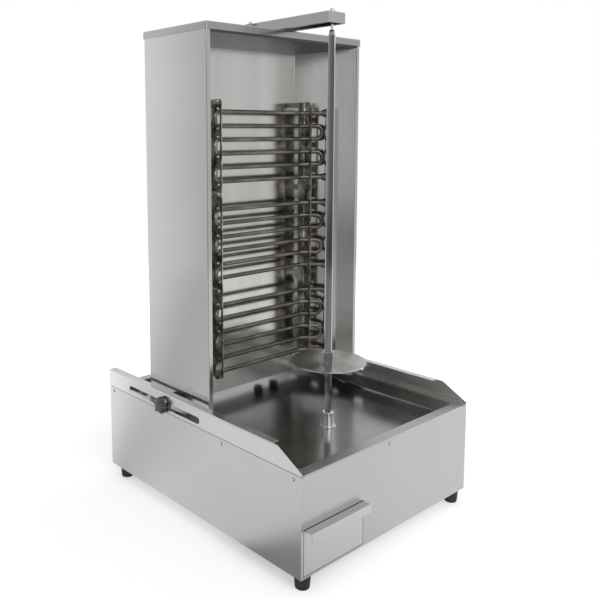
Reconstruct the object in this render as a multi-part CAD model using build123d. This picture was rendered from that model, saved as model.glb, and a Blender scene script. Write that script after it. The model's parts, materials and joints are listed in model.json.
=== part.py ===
"""Electric doner kebab grill: a sliding heater tower over a drip pan, with a driven upright spit.

Frame: +Z up, Z = 0 is the surface that the feet stand on, X runs across the width, and the drawer
and the spit are on the -Y side. X = 0 is the middle plane of the casing. Lengths are millimetres.
"""
import os
from math import atan2, cos, degrees, hypot, pi, radians, sin, tan

from build123d import *

# General clearances
seat = 0.3
running_gap = 0.08
thread_gap = 0.05
screw_gap = 0.2
cut = 1.0

# Casing of the base
body_width = 460.0
body_depth = 562.0
body_height = 171.0
sheet = 1.2
front_rim = 20.0
casing_bend = 2.5
floor_flange = 14.0
rail_height = 16.0
casing_screw_drop = 9.0
casing_screw_front = 19.0
casing_screw_middle_y = -86.0
casing_screw_back = 14.0
front_screw_x = -8.7
screw_radius = 1.9
screw_head_radius = 3.6
screw_head_height = 2.2
screw_head_bend = 1.32
screw_length = 7.0

# Rubber feet
foot_height = 25.0
foot_top_radius = 14.2
foot_sole_radius = 12.0
foot_inset_x = 20.0
foot_inset_front = 16.0
foot_inset_back = 30.0
foot_screw_radius = 3.0
foot_screw_head = 5.5
foot_screw_head_height = 4.0
foot_web = 6.0
foot_sole_bend = 1.5

# Drip pan
pan_depth = 26.3
pan_clear = 17.0
pan_corner = 8.0
pan_floor_bend = 4.0
rim_setback = 1.7
drain_side_margin = 66.0
drain_front_margin = 57.0
drain_length = 22.0
drain_width = 10.0
spout_wall = 1.5
spout_length = 26.0

# Side guards with the clamping slots
guard_height = 34.0
guard_flange = 16.0
guard_foot_flange = 12.0
guard_nose_height = 4.5
guard_slope_run = 55.0
guard_flange_start = 12.0
slot_width = 13.0
slot_front_margin = 23.0
slot_back_margin = 47.5
slot_level = 12.0

# Grease drawer
drawer_side_margin = 6.6
drawer_bracket_gap = 25.4
drawer_lift = 4.5
drawer_front_height = 77.3
drawer_depth = 300.0
drawer_wall = 1.0
drawer_side_gap = 4.4
drawer_wall_height = 62.0
drawer_corner = 5.0
lip_reach = 18.0
lip_drop = 13.8
panel_gap = 1.0
runner_height = 20.0
runner_foot = 14.0
runner_sheet = 1.5
runner_setback = 4.0

# Spit drive
spit_setback = 153.3
spit_angle = 35.0
motor_radius = 28.0
motor_length = 46.0
motor_bend = 3.0
motor_cap_radius = 9.0
motor_cap_height = 4.0
gearbox_width = 70.0
gearbox_depth = 62.0
gearbox_height = 40.0
gearbox_corner = 6.0
bracket_width = 110.0
bracket_depth = 84.0
bracket_foot = 14.0
bracket_sheet = 2.0
bracket_height = 104.0
shaft_radius = 5.0
shaft_depth = 26.0
shaft_press = 0.02
seal_radius = 15.5
seal_thickness = 3.0
seal_bend = 1.0
seal_neck_radius = 8.0
seal_neck_length = 9.0
ring_nut_radius = 13.0
ring_nut_height = 5.0
boss_radius = 11.0
boss_height = 25.4
boss_bend = 1.2
socket_depth = 16.0

# Spit
spit_size = 12.0
spit_fit = 0.1
spit_tip_gap = 11.3
spit_tip_height = 10.0
spit_tip_size = 8.0
spit_hole_depth = 15.0
disc_radius = 71.0
disc_thickness = 2.0
disc_rise = 100.5
disc_edge_radius = 0.6
hub_size = 17.0
hub_height = 18.0
hub_bend = 1.0
collar_radius = 13.0
collar_height = 9.0
disc_hole_radius = 2.5
disc_hole_ring = 19.0
disc_hole_count = 4

# Supply side in the base
terminal_box_width = 75.0
terminal_box_depth = 30.0
terminal_box_height = 44.0
terminal_box_inset = 105.0
terminal_box_gap = 15.0
gland_spacing = 50.0
gland_level = 60.0
gland_bore_radius = 4.5
gland_thread_radius = 7.0
gland_nut_radius = 10.5
gland_reach = 18.0
gland_flange = 4.0
lead_radius = 3.5
lead_bend = 30.0
vent_side_margin = 95.0
vent_length = 50.0
vent_width = 5.0
vent_pitch = 12.0
vent_count = 6

# Heater tower
tower_side_gap = 26.0
tower_spit_gap = 105.2
tower_depth = 191.0
tower_sheet = 1.0
tower_return = 9.0
tower_bend = 2.0
tower_lift = 1.0
rear_flange = 20.0
lid_top = 914.7
lid_skirt = 13.5
lid_bend = 2.5
ceiling_drop = 16.5
tower_slide_forward = 90.0
tower_slide_back = 70.0

# Reflector
reflector_taper = 67.0
reflector_depth = 113.5
reflector_flange = 7.0
reflector_bend = 2.0
insulation_thickness = 18.0
insulation_side_gap = 8.0

# Heating elements
tube_radius = 4.25
rods_per_element = 6
rod_pitch = 26.7
element_count = 3
element_pitch = 188.0
element_rise = 124.0
rod_gap = 35.0
bend_inset = 17.0
bend_angle = 41.0
bend_radius = 15.0
tip_reach = 50.0
gland_start = 45.0
gland_length = 8.0
gland_hex_length = 4.8
gland_hex_radius = 8.0
gland_flare_radius = 6.5
terminal_radius = 2.0
terminal_length = 10.0
duct_depth = 17.0
duct_width = 10.0
duct_margin_bottom = 20.0
duct_margin_top = 10.0
duct_wall = 1.0
wire_hole_radius = 5.0

# Upright plates that hold the elements
plate_front_gap = 56.0
plate_inset = 8.0
plate_depth = 36.0
plate_sheet = 1.5
plate_corner = 8.0
plate_step = 2.0
plate_step_y = 18.0
plate_margin_top = 22.75
plate_margin_bottom = 9.75
window_gap = 0.8
strap_sheet = 1.5
strap_height = 11.0
strap_foot = 16.0
strap_offset = 4.0
strap_drop = 4.5
strap_screw_y = 10.0
strap_nose = 5.0

# Control panel on the back of the tower
control_inset = 104.0
knob_names = ("bottom", "middle", "top")
lowest_knob_rise = 203.0
knob_pitch = 100.0
knob_radius = 20.0
knob_height = 17.0
knob_skirt = 4.0
knob_bend = 2.0
knob_shaft_radius = 3.0
knob_flutes = 12
flute_radius = 2.2
pointer_width = 3.0
pointer_height = 1.5
regulator_size = 44.0
regulator_depth = 34.0
regulator_corner = 3.0
regulator_bore_depth = 12.0
lamp_radius = 5.0
lamp_flange = 1.0
lamp_offset = 44.0
lamp_height = 5.0
lamp_dome = 4.0
lamp_body = 18.0
rocker_rise = 90.0
rocker_width = 18.0
rocker_height = 24.0
rocker_proud = 3.5
rocker_thickness = 8.0
rocker_tilt = 8.0
rocker_gap = 1.2
rocker_pin_radius = 1.5
bezel_wall = 3.5
bezel_height = 2.0
switch_depth = 24.0
louvre_count = 6
louvre_length = 60.0
louvre_width = 4.0
louvre_pitch = 13.0
louvre_drop = 124.7
louvre_column = 60.0
rear_screw_count = 4
rear_screw_margin_bottom = 28.0
rear_screw_margin_top = 39.7
rear_panel_lift = 3.0
tower_gland_setback = 18.5
tower_gland_offset = 25.0
tower_gland_pitch = 47.0
tower_gland_drop = 17.0
loom_radius = 6.0
loom_bend = 25.0
loom_setback = 12.0
loom_rise = 75.0

# Tower clamps and slide shoes
clamp_setback = 109.5
stud_radius = 4.0
clamp_knob_radius = 16.5
clamp_knob_lobes = 5
clamp_lobe_radius = 5.5
clamp_knob_thickness = 12.2
clamp_knob_web = 4.0
clamp_knob_bend = 1.0
washer_radius = 12.0
washer_thickness = 1.5
clamp_bracket_length = 44.0
clamp_bracket_height = 17.0
clamp_bracket_sheet = 1.5
weld_nut_length = 6.0
weld_nut_radius = 7.5
shoe_length = 50.0
shoe_sheet = 2.0
shoe_height = 14.0
shoe_side_gap = 2.5
shoe_front_margin = 6.5
shoe_back_margin = 2.5

# Top arm and upper pin
arm_width = 44.0
arm_height = 19.8
arm_sheet = 1.5
arm_bend = 2.0
arm_overhang = 11.3
arm_length = 229.0
arm_lip = 8.0
arm_pad_thickness = 1.3
arm_pad_start = 130.0
arm_stud_setback = 82.5
arm_stud_x = 27.0
arm_stud_radius = 2.0
arm_stud_head_radius = 3.8
arm_stud_head_height = 4.0
arm_lug_length = 14.0
arm_lug_reach = 10.0
arm_slot_width = 5.0
arm_slot_margin = 4.0
nut_plate_height = 3.0
nut_plate_width = 68.0
nut_plate_length = 16.0
pin_radius = 2.5
pin_head_radius = 4.2
pin_head_height = 5.0
pin_depth = 12.0
bush_radius = 6.0
bush_flange_radius = 8.5
bush_flange_height = 1.6
bush_length = 14.0

# Places that follow from the sizes
half_width = body_width / 2
front_y = -body_depth / 2
back_y = body_depth / 2
body_top = foot_height + body_height
rim_z = body_top - sheet
floor_top = foot_height + sheet
inner_x = half_width - sheet
drain_x = -(half_width - drain_side_margin)
drain_y = front_y + drain_front_margin
drawer_left = -(half_width - drawer_side_margin)
drawer_width = -drawer_left - bracket_width / 2 - drawer_bracket_gap
terminal_box_x = half_width - terminal_box_inset
vent_right = half_width - vent_side_margin
vent_left = vent_right - vent_length
spit_y = front_y + spit_setback
disc_level = body_top + disc_rise
tower_front_y = spit_y + tower_spit_gap
clamp_y = tower_front_y + clamp_setback
pan_half_x = half_width - pan_clear
pan_front_y = front_y + front_rim + sheet + seat
pan_back_y = -pan_front_y
pan_floor = rim_z - pan_depth
guard_top = body_top + guard_height
guard_gap_x = inner_x - seat
slot_z = body_top + slot_level
slot_front_y = clamp_y - tower_slide_forward - slot_front_margin
slot_back_y = clamp_y + tower_slide_back + slot_back_margin
opening_left = drawer_left - panel_gap
opening_right = drawer_left + drawer_width + panel_gap
drawer_bottom = foot_height + drawer_lift
drawer_top = drawer_bottom + drawer_front_height
bracket_top = floor_top + bracket_height
gearbox_top = bracket_top - bracket_sheet
motor_top = gearbox_top - gearbox_height
boss_bottom = pan_floor + seal_thickness + seat
boss_top = boss_bottom + boss_height
socket_z = boss_top - socket_depth
base_gland_xs = (terminal_box_x - gland_spacing / 2, terminal_box_x + gland_spacing / 2)
terminal_box_back = back_y - 2 * sheet - terminal_box_gap
tower_x = half_width - tower_side_gap
wall_x = tower_x - tower_sheet
tower_back_y = tower_front_y + tower_depth
shell_back_y = tower_back_y - tower_sheet
tower_bottom = body_top + tower_lift
lid_under = lid_top - sheet
ceiling_top = lid_top - ceiling_drop
ceiling_z = ceiling_top - tower_sheet
return_x = tower_x - tower_return
return_back_y = tower_front_y + tower_sheet
liner_flange_x = return_x + reflector_flange
reflector_back_y = return_back_y + reflector_depth
liner_front_x = return_x
liner_back_x = liner_front_x - reflector_taper
wall_slope = (liner_front_x - liner_back_x) / reflector_depth
rod_y = reflector_back_y - rod_gap
bend_x = liner_back_x - bend_inset
plate_x = liner_back_x - plate_inset
lean = radians(bend_angle)
rod_span = rod_pitch * (rods_per_element - 1)
lowest_element = tower_bottom + element_rise
element_levels = [lowest_element + element_pitch * i for i in range(element_count)]
highest_rod = element_levels[-1] + rod_span / 2
lowest_rod = element_levels[0] - rod_span / 2
plate_bottom = lowest_rod - plate_margin_bottom
plate_top = highest_rod + plate_margin_top
plate_front_y = reflector_back_y - plate_front_gap
plate_back_y = plate_front_y + plate_depth
plate_outer_x = plate_x + plate_step + plate_sheet / 2
duct_start = gland_start + gland_length
control_x = tower_x - control_inset
knob_levels = [tower_bottom + lowest_knob_rise + knob_pitch * i for i in range(len(knob_names))]
rocker_level = knob_levels[-1] + rocker_rise
louvre_level = lid_top - louvre_drop
rear_screw_low = tower_bottom + rear_screw_margin_bottom
rear_screw_span = lid_top - rear_screw_margin_top - rear_screw_low
rear_screw_pitch = rear_screw_span / (rear_screw_count - 1)
rear_screw_levels = [rear_screw_low + rear_screw_pitch * i for i in range(rear_screw_count)]
tower_gland_y = tower_back_y - tower_gland_setback
tower_gland_x = control_x - tower_gland_offset
tower_gland_places = (tower_gland_x, tower_gland_x + tower_gland_pitch)
shoe_reach = guard_gap_x - shoe_side_gap - tower_x
shoe_front_y = tower_front_y + shoe_front_margin
shoe_back_y = tower_back_y - shoe_back_margin - shoe_length
arm_front_y = spit_y - arm_overhang
arm_stud_y = tower_front_y + arm_stud_setback
arm_bottom = lid_top + arm_pad_thickness + seat
arm_top = arm_bottom + arm_height
arm_back_y = arm_front_y + arm_length
arm_lug_top = arm_top - arm_bend
spit_tip_z = arm_bottom - spit_tip_gap
spit_top = spit_tip_z - spit_tip_height
pin_seat_z = arm_top + bush_flange_height
rocker_y = tower_back_y + rocker_proud - rocker_thickness / 2
clamp_knob_x = half_width + seat + washer_thickness
centred = (Align.CENTER, Align.CENTER, Align.MIN)


def block(x0, x1, y0, y1, z0, z1):
    """A box between two corners."""
    return Pos(x0, y0, z0) * Box(x1 - x0, y1 - y0, z1 - z0, align=(Align.MIN, Align.MIN, Align.MIN))


def upright(x, y, z0, z1, radius):
    """A round bar that stands along Z."""
    return Pos(x, y, z0) * Cylinder(radius, z1 - z0, align=centred)


def across(x0, x1, y, z, radius):
    """A round bar that lies along X."""
    return Pos(x0, y, z) * Rot(0, 90, 0) * Cylinder(radius, x1 - x0, align=centred)


def lengthways(x, y0, y1, z, radius):
    """A round bar that lies along Y."""
    return Pos(x, y0, z) * Rot(-90, 0, 0) * Cylinder(radius, y1 - y0, align=centred)


def prism(points, direction, amount):
    """A flat outline of 3-D points, pushed along one direction."""
    return extrude(make_face(Polyline(*points, close=True)), amount=amount, dir=direction)


def plan_prism(points, z0, z1):
    """An outline of plan points, raised from one level to another."""
    return prism([(x, y, z0) for x, y in points], (0, 0, 1), z1 - z0)


def slot_along_y(x0, x1, y0, y1, z, width):
    """A round-ended slot along Y that goes through in X."""
    r = width / 2
    middle = block(x0, x1, y0 + r, y1 - r, z - r, z + r)
    return middle + across(x0, x1, y0 + r, z, r) + across(x0, x1, y1 - r, z, r)


def level_slot(x0, x1, y0, y1, z0, z1):
    """A round-ended slot that goes through in Z, long in its longer direction."""
    if x1 - x0 > y1 - y0:
        r = (y1 - y0) / 2
        middle = block(x0 + r, x1 - r, y0, y1, z0, z1)
        return middle + upright(x0 + r, y0 + r, z0, z1, r) + upright(x1 - r, y0 + r, z0, z1, r)
    r = (x1 - x0) / 2
    middle = block(x0, x1, y0 + r, y1 - r, z0, z1)
    return middle + upright(x0 + r, y0 + r, z0, z1, r) + upright(x0 + r, y1 - r, z0, z1, r)


def hex_bar_x(x0, x1, y, z, radius):
    """A hexagonal bar along X, with its corners at the given radius."""
    turns = [pi / 3 * i for i in range(6)]
    corners = [(x0, y + radius * cos(a), z + radius * sin(a)) for a in turns]
    return prism(corners, (1, 0, 0), x1 - x0)


def hex_bar_y(x, y0, y1, z, radius):
    """A hexagonal bar along Y, with its corners at the given radius."""
    turns = [pi / 3 * i for i in range(6)]
    corners = [(x + radius * cos(a), y0, z + radius * sin(a)) for a in turns]
    return prism(corners, (0, 1, 0), y1 - y0)


def mirror_x(shape):
    """The same shape on the other side of the middle plane."""
    return mirror(shape, about=Plane.YZ)


def rounded(shape, axis, radius, keep=None):
    """Rounds the edges that run along one axis, or only those that keep() picks."""
    edges = shape.edges().filter_by(axis)
    if keep is not None:
        edges = edges.filter_by(keep)
    return fillet(edges, radius)


def group(shapes):
    """Separate solids that share one node."""
    return Compound(children=list(shapes))


def both_sides(shapes):
    """Shapes of the right side together with their mirror twins."""
    return group(list(shapes) + [mirror_x(s) for s in shapes])


def round_screw():
    """A round-headed screw with its head on the plane X = 0, pointing along -X."""
    head = across(0, screw_head_height, 0, 0, screw_head_radius)
    head = fillet(head.edges().sort_by(Axis.X)[-1], screw_head_bend)
    return head + across(-screw_length, seat, 0, 0, screw_radius)


# Base casing

def casing_screw_places():
    """Where the casing screws sit on a side wall: Y and Z."""
    level = rim_z - casing_screw_drop
    ys = (front_y + casing_screw_front, casing_screw_middle_y, back_y - casing_screw_back)
    return [(y, level) for y in ys]


def casing_screw_holes(shape):
    """Clearance holes through both side walls for the casing screws."""
    for y, z in casing_screw_places():
        shape -= across(-half_width - cut, half_width + cut, y, z, screw_radius + screw_gap)
    return shape


def base_casing():
    """Left side, back and right side in one folded sheet, with a rim turned inwards."""
    outer = block(-half_width, half_width, front_y, back_y, foot_height, rim_z)
    outer = rounded(outer, Axis.Z, casing_bend, lambda e: e.center().Y > 0)
    inner = block(-inner_x, inner_x, front_y - cut, back_y - sheet, foot_height - cut, rim_z - sheet)
    inner = rounded(inner, Axis.Z, casing_bend - sheet, lambda e: e.center().Y > 0)
    ledge_x = pan_half_x + sheet + seat
    ledge_y = pan_back_y + sheet + seat
    under = rim_z - 2 * sheet
    shell = outer - inner
    shell -= block(-ledge_x, ledge_x, front_y - cut, ledge_y, under, rim_z + cut)
    shell -= block(-inner_x, inner_x, front_y - cut, front_y + front_rim + seat, under, rim_z + cut)
    for x in base_gland_xs:
        shell -= lengthways(x, back_y - 2 * sheet, back_y + cut, gland_level, gland_thread_radius + seat)
    return casing_screw_holes(shell)


def front_panel():
    """The front sheet, with the drawer opening, side flanges and a rim turned back."""
    y1 = front_y + front_rim
    outer = block(-inner_x, inner_x, front_y, y1, foot_height, rim_z)
    top_edge = outer.edges().filter_by(Axis.X).group_by(Axis.Z)[-1].sort_by(Axis.Y)[0]
    outer = fillet(top_edge, casing_bend)
    flange_x = inner_x - sheet
    panel = outer - block(-flange_x, flange_x, front_y + sheet, y1 + cut, 0, rim_z - sheet)
    panel -= block(-half_width, half_width, front_y + sheet, y1 + cut, 0, floor_top)
    panel -= block(
        opening_left, opening_right, front_y - cut, front_y + sheet + cut,
        drawer_bottom - panel_gap, drawer_top + panel_gap,
    )
    hole_z = rim_z - casing_screw_drop
    panel -= lengthways(front_screw_x, front_y - cut, front_y + 2 * sheet, hole_z, screw_radius + screw_gap)
    return casing_screw_holes(panel)


def foot_places():
    """X and Y of the four feet."""
    x = half_width - foot_inset_x
    ys = (front_y + foot_inset_front, back_y - foot_inset_back)
    return [(side * x, y) for side in (-1, 1) for y in ys]


def base_floor():
    """The bottom sheet, with turned-up side and back flanges and vent slots beside the motor."""
    y0 = front_y + sheet
    y1 = back_y - sheet
    top = foot_height + floor_flange
    tray = block(-inner_x, inner_x, y0, y1, foot_height, top)
    tray = rounded(tray, Axis.Z, casing_bend - sheet, lambda e: e.center().Y > 0)
    tray -= block(-inner_x + sheet, inner_x - sheet, y0 - cut, y1 - sheet, floor_top, top + cut)
    tray -= block(-half_width, half_width, y0 - cut, front_y + front_rim + seat, floor_top, top + cut)
    for x, y in foot_places():
        tray -= upright(x, y, foot_height - cut, floor_top + cut, foot_screw_radius + screw_gap)
    for i in range(vent_count):
        y = spit_y + vent_pitch * (i - vent_count / 2)
        tray -= level_slot(vent_left, vent_right, y, y + vent_width, foot_height - cut, floor_top + cut)
    return tray


def side_rail():
    """The stiffening angle under the rim of the right side wall."""
    top = rim_z - sheet
    x0 = pan_half_x + 2 * sheet
    y0 = front_y + front_rim + sheet
    y1 = back_y - 2 * sheet
    rail = block(x0, inner_x, y0, y1, top - rail_height, top)
    rail -= block(x0 - cut, inner_x - sheet, y0 - cut, y1 + cut, top - rail_height - cut, top - sheet)
    return casing_screw_holes(rail)


def casing_screws():
    """The visible screws of both side walls and the front."""
    right = [Pos(half_width, y, z) * round_screw() for y, z in casing_screw_places()]
    front = Pos(front_screw_x, front_y, rim_z - casing_screw_drop) * Rot(0, 0, -90) * round_screw()
    return group(right + [mirror_x(s) for s in right] + [front])


def foot(x, y):
    """A tapered rubber foot with a sunk seat for its screw."""
    body = Pos(x, y, 0) * Cone(foot_sole_radius, foot_top_radius, foot_height, align=centred)
    body = fillet(body.edges().sort_by(Axis.Z)[0], foot_sole_bend)
    body -= upright(x, y, -cut, foot_height - foot_web, foot_screw_head + cut)
    return body - upright(x, y, 0, foot_height + cut, foot_screw_radius + screw_gap)


def foot_screw(x, y):
    """The screw of one foot, with its low nut on the inside of the floor."""
    seat_z = foot_height - foot_web
    head = upright(x, y, seat_z - foot_screw_head_height, seat_z, foot_screw_head)
    shank = upright(x, y, seat_z, floor_top + sheet, foot_screw_radius)
    return head + shank + upright(x, y, floor_top, floor_top + sheet, foot_screw_head)


# Drip pan and guards

def drain_slot(wall, z0, z1):
    """The drain's obround, grown by a wall, between two levels."""
    half_x = drain_length / 2 + wall
    half_y = drain_width / 2 + wall
    return level_slot(drain_x - half_x, drain_x + half_x, drain_y - half_y, drain_y + half_y, z0, z1)


def drip_pan():
    """The recessed pan, with rounded corners, a flat rim, a shaft hole and a drain slot."""
    bottom = pan_floor - sheet
    wall_x1 = pan_half_x + sheet
    wall_y1 = pan_back_y + sheet
    walls = block(-wall_x1, wall_x1, -wall_y1, wall_y1, bottom, body_top)
    walls = rounded(walls, Axis.Z, pan_corner + sheet)
    walls = fillet(walls.edges().group_by(Axis.Z)[0], pan_floor_bend + sheet)
    rim_x = half_width - rim_setback
    rim_y = back_y - rim_setback
    rim = block(-rim_x, rim_x, -rim_y, rim_y, rim_z, body_top)
    hollow = block(-pan_half_x, pan_half_x, pan_front_y, pan_back_y, pan_floor, body_top + cut)
    hollow = rounded(hollow, Axis.Z, pan_corner)
    hollow = fillet(hollow.edges().group_by(Axis.Z)[0], pan_floor_bend)
    pan = walls + rim - hollow
    pan -= upright(0, spit_y, bottom - cut, pan_floor + cut, seal_neck_radius + seat)
    return pan - drain_slot(0, bottom - cut, pan_floor + cut)


def drain_spout():
    """The flattened tube under the pan's drain slot."""
    top = pan_floor - sheet
    bottom = top - spout_length
    return drain_slot(spout_wall, bottom, top) - drain_slot(0, bottom - cut, top + cut)


def guard_right():
    """The side guard: a web with both edges turned inwards, a sloped nose and a long slot."""
    x0 = half_width - guard_flange
    slope_y = front_y + guard_slope_run
    outline = [
        (x0, front_y, body_top),
        (x0, front_y, body_top + guard_nose_height),
        (x0, slope_y, guard_top),
        (x0, back_y, guard_top),
        (x0, back_y, body_top),
    ]
    guard = prism(outline, (1, 0, 0), guard_flange)
    top_edge = guard.edges().filter_by(Axis.Y).group_by(Axis.Z)[-1].sort_by(Axis.X)[-1]
    guard = fillet(top_edge, casing_bend)
    y0 = front_y - cut
    y1 = back_y + cut
    guard -= block(x0 - cut, inner_x, y0, y1, body_top + sheet, guard_top - sheet)
    guard -= block(x0 - cut, half_width - guard_foot_flange, y0, y1, body_top - cut, body_top + 2 * sheet)
    flange_y = slope_y + guard_flange_start
    guard -= block(x0 - cut, inner_x, y0, flange_y, body_top + 2 * sheet, guard_top + cut)
    slot = slot_along_y(inner_x - cut, half_width + cut, slot_front_y, slot_back_y, slot_z, slot_width)
    return guard - slot


# Grease drawer

def drawer_front():
    """The drawer's face, with its top edge folded out and down as a handle lip."""
    x0 = drawer_left
    x1 = drawer_left + drawer_width
    face = block(x0, x1, front_y, front_y + sheet, drawer_bottom, drawer_top)
    lip = block(x0, x1, front_y - lip_reach, front_y + sheet, drawer_top - lip_drop, drawer_top)
    top_edge = lip.edges().filter_by(Axis.X).group_by(Axis.Z)[-1].sort_by(Axis.Y)[0]
    lip = fillet(top_edge, casing_bend)
    lip -= block(
        x0 - cut, x1 + cut, front_y - lip_reach + sheet, front_y,
        drawer_top - lip_drop - cut, drawer_top - sheet,
    )
    return face + lip


def drawer_tray():
    """The open grease tray behind the drawer's face."""
    x0 = drawer_left + drawer_side_gap
    x1 = drawer_left + drawer_width - drawer_side_gap
    y0 = front_y + sheet
    y1 = y0 + drawer_depth
    z0 = drawer_bottom
    z1 = z0 + drawer_wall_height
    wall = drawer_wall
    outer = block(x0, x1, y0, y1, z0, z1)
    outer = rounded(outer, Axis.Z, drawer_corner, lambda e: e.center().Y > y0 + drawer_corner)
    inner = block(x0 + wall, x1 - wall, y0 + wall, y1 - wall, z0 + wall, z1 + cut)
    return outer - rounded(inner, Axis.Z, drawer_corner - wall)


def runner(side):
    """One of the two rails that carry the drawer: side is -1 for left and 1 for right."""
    middle = drawer_left + drawer_width / 2
    reach = drawer_width / 2 - drawer_side_gap + seat
    y0 = front_y + front_rim + runner_setback
    y1 = front_y + sheet + drawer_depth + runner_setback
    web = block(reach, reach + runner_sheet, y0, y1, floor_top, floor_top + runner_height)
    shape = web + block(reach - runner_foot, reach, y0, y1, floor_top, drawer_bottom - seat)
    return Pos(middle, 0, 0) * (shape if side > 0 else mirror_x(shape))


# Spit drive

def motor_bracket():
    """The bridge that carries the gearbox under the pan."""
    half = bracket_width / 2
    y0 = spit_y - bracket_depth / 2
    y1 = spit_y + bracket_depth / 2
    under = half - bracket_sheet
    bridge = block(-half, half, y0, y1, floor_top, bracket_top)
    bridge -= block(-under, under, y0 - cut, y1 + cut, floor_top - cut, gearbox_top)
    foot_top = floor_top + bracket_sheet
    bridge += block(-half - bracket_foot, -half, y0, y1, floor_top, foot_top)
    bridge += block(half, half + bracket_foot, y0, y1, floor_top, foot_top)
    return bridge - upright(0, spit_y, gearbox_top - cut, bracket_top + cut, 2 * shaft_radius)


def gearbox():
    """The reduction gearbox, hung under the bridge, with the bore of its output shaft."""
    half_x = gearbox_width / 2
    half_y = gearbox_depth / 2
    shape = block(-half_x, half_x, spit_y - half_y, spit_y + half_y, motor_top, gearbox_top)
    shape = rounded(shape, Axis.Z, gearbox_corner)
    bore_bottom = gearbox_top - shaft_depth - seat
    return shape - upright(0, spit_y, bore_bottom, gearbox_top + cut, shaft_radius + running_gap)


def motor():
    """The round motor under the gearbox, with its end cap."""
    bottom = motor_top - motor_length
    can = upright(0, spit_y, bottom, motor_top, motor_radius)
    can = fillet(can.edges().sort_by(Axis.Z)[0], motor_bend)
    return can + upright(0, spit_y, bottom - motor_cap_height, bottom + cut, motor_cap_radius)


def drive_shaft():
    """The gearbox's output shaft, up into the boss."""
    return upright(0, spit_y, gearbox_top - shaft_depth, socket_z - cut, shaft_radius)


def shaft_seal():
    """The flanged bush where the shaft comes through the pan, with its ring nut below."""
    flange_top = pan_floor + seal_thickness
    flange = upright(0, spit_y, pan_floor, flange_top, seal_radius)
    flange = fillet(flange.edges().sort_by(Axis.Z)[-1], seal_bend)
    neck_bottom = pan_floor - seal_neck_length
    bush = flange + upright(0, spit_y, neck_bottom, flange_top, seal_neck_radius)
    bush -= upright(0, spit_y, neck_bottom - cut, flange_top + cut, shaft_radius + running_gap)
    ring_top = pan_floor - sheet
    ring_bottom = ring_top - ring_nut_height
    ring = upright(0, spit_y, ring_bottom, ring_top, ring_nut_radius)
    return group([bush, ring - upright(0, spit_y, 0, ring_top + cut, seal_neck_radius + thread_gap)])


def drive_boss():
    """The round drive boss with its square socket."""
    boss = upright(0, spit_y, boss_bottom, boss_top, boss_radius)
    boss = fillet(boss.edges().sort_by(Axis.Z)[-1], boss_bend)
    boss -= square_bar(spit_size + 2 * spit_fit, socket_z, boss_top + cut)
    return boss - upright(0, spit_y, boss_bottom - cut, socket_z + cut, shaft_radius + shaft_press)


# Spit

def square_bar(size, z0, z1):
    """An upright square bar on the spit's axis, turned with the spit."""
    half = size / 2
    return Pos(0, spit_y, 0) * Rot(0, 0, spit_angle) * block(-half, half, -half, half, z0, z1)


def spit_bar():
    """The square spit with a tapered top that has a hole for the upper pin."""
    bar = square_bar(spit_size, socket_z + spit_fit, spit_top)
    place = Pos(0, spit_y, spit_top) * Rot(0, 0, spit_angle)
    lower = place * Rectangle(spit_size, spit_size)
    upper = place * Pos(0, 0, spit_tip_height) * Rectangle(spit_tip_size, spit_tip_size)
    tip = loft([lower, upper])
    hole = upright(0, spit_y, spit_tip_z - spit_hole_depth, spit_tip_z + cut, pin_radius + running_gap)
    return bar + tip - hole


def spit_disc():
    """The round disc that carries the meat, with its ring of small holes."""
    bottom = disc_level - disc_thickness
    disc = upright(0, spit_y, bottom, disc_level, disc_radius)
    disc = fillet(disc.edges(), disc_edge_radius)
    disc -= square_bar(hub_size + 2 * spit_fit, bottom - cut, disc_level + cut)
    for i in range(disc_hole_count):
        angle = radians(spit_angle + 360 * i / disc_hole_count)
        x = disc_hole_ring * cos(angle)
        y = spit_y + disc_hole_ring * sin(angle)
        disc -= upright(x, y, bottom - cut, disc_level + cut, disc_hole_radius)
    return disc


def disc_hub():
    """The square sleeve through the disc, with the round collar that holds the disc up."""
    bottom = disc_level - disc_thickness - collar_height
    top = disc_level + hub_height
    sleeve = square_bar(hub_size, bottom + cut, top)
    sleeve = fillet(sleeve.edges().group_by(Axis.Z)[-1], hub_bend)
    collar = upright(0, spit_y, bottom, bottom + collar_height, collar_radius)
    collar = fillet(collar.edges().sort_by(Axis.Z)[0], hub_bend)
    return sleeve + collar - square_bar(spit_size + 2 * spit_fit, bottom - cut, top + cut)


# Supply side in the base

def terminal_box():
    """The closed terminal box on the base floor."""
    half = terminal_box_width / 2
    y0 = terminal_box_back - terminal_box_depth
    top = floor_top + terminal_box_height
    box = block(terminal_box_x - half, terminal_box_x + half, y0, terminal_box_back, floor_top, top)
    return rounded(box, Axis.Z, regulator_corner)


def base_gland(x):
    """A cable gland through the back of the base, open for a lead."""
    wall = back_y - sheet
    outer_y = back_y + gland_reach
    nut = lengthways(x, wall - gland_flange, wall, gland_level, gland_nut_radius)
    thread = lengthways(x, wall - 2 * gland_flange, back_y + gland_flange, gland_level, gland_thread_radius)
    flange = hex_bar_y(x, back_y, back_y + gland_flange, gland_level, gland_nut_radius + cut)
    dome = lengthways(x, back_y, outer_y, gland_level, gland_nut_radius)
    dome = fillet(dome.edges().sort_by(Axis.Y)[-1], gland_flange)
    bore = lengthways(x, wall - 3 * gland_flange, outer_y + cut, gland_level, gland_bore_radius)
    return nut + thread + flange + dome - bore


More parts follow.
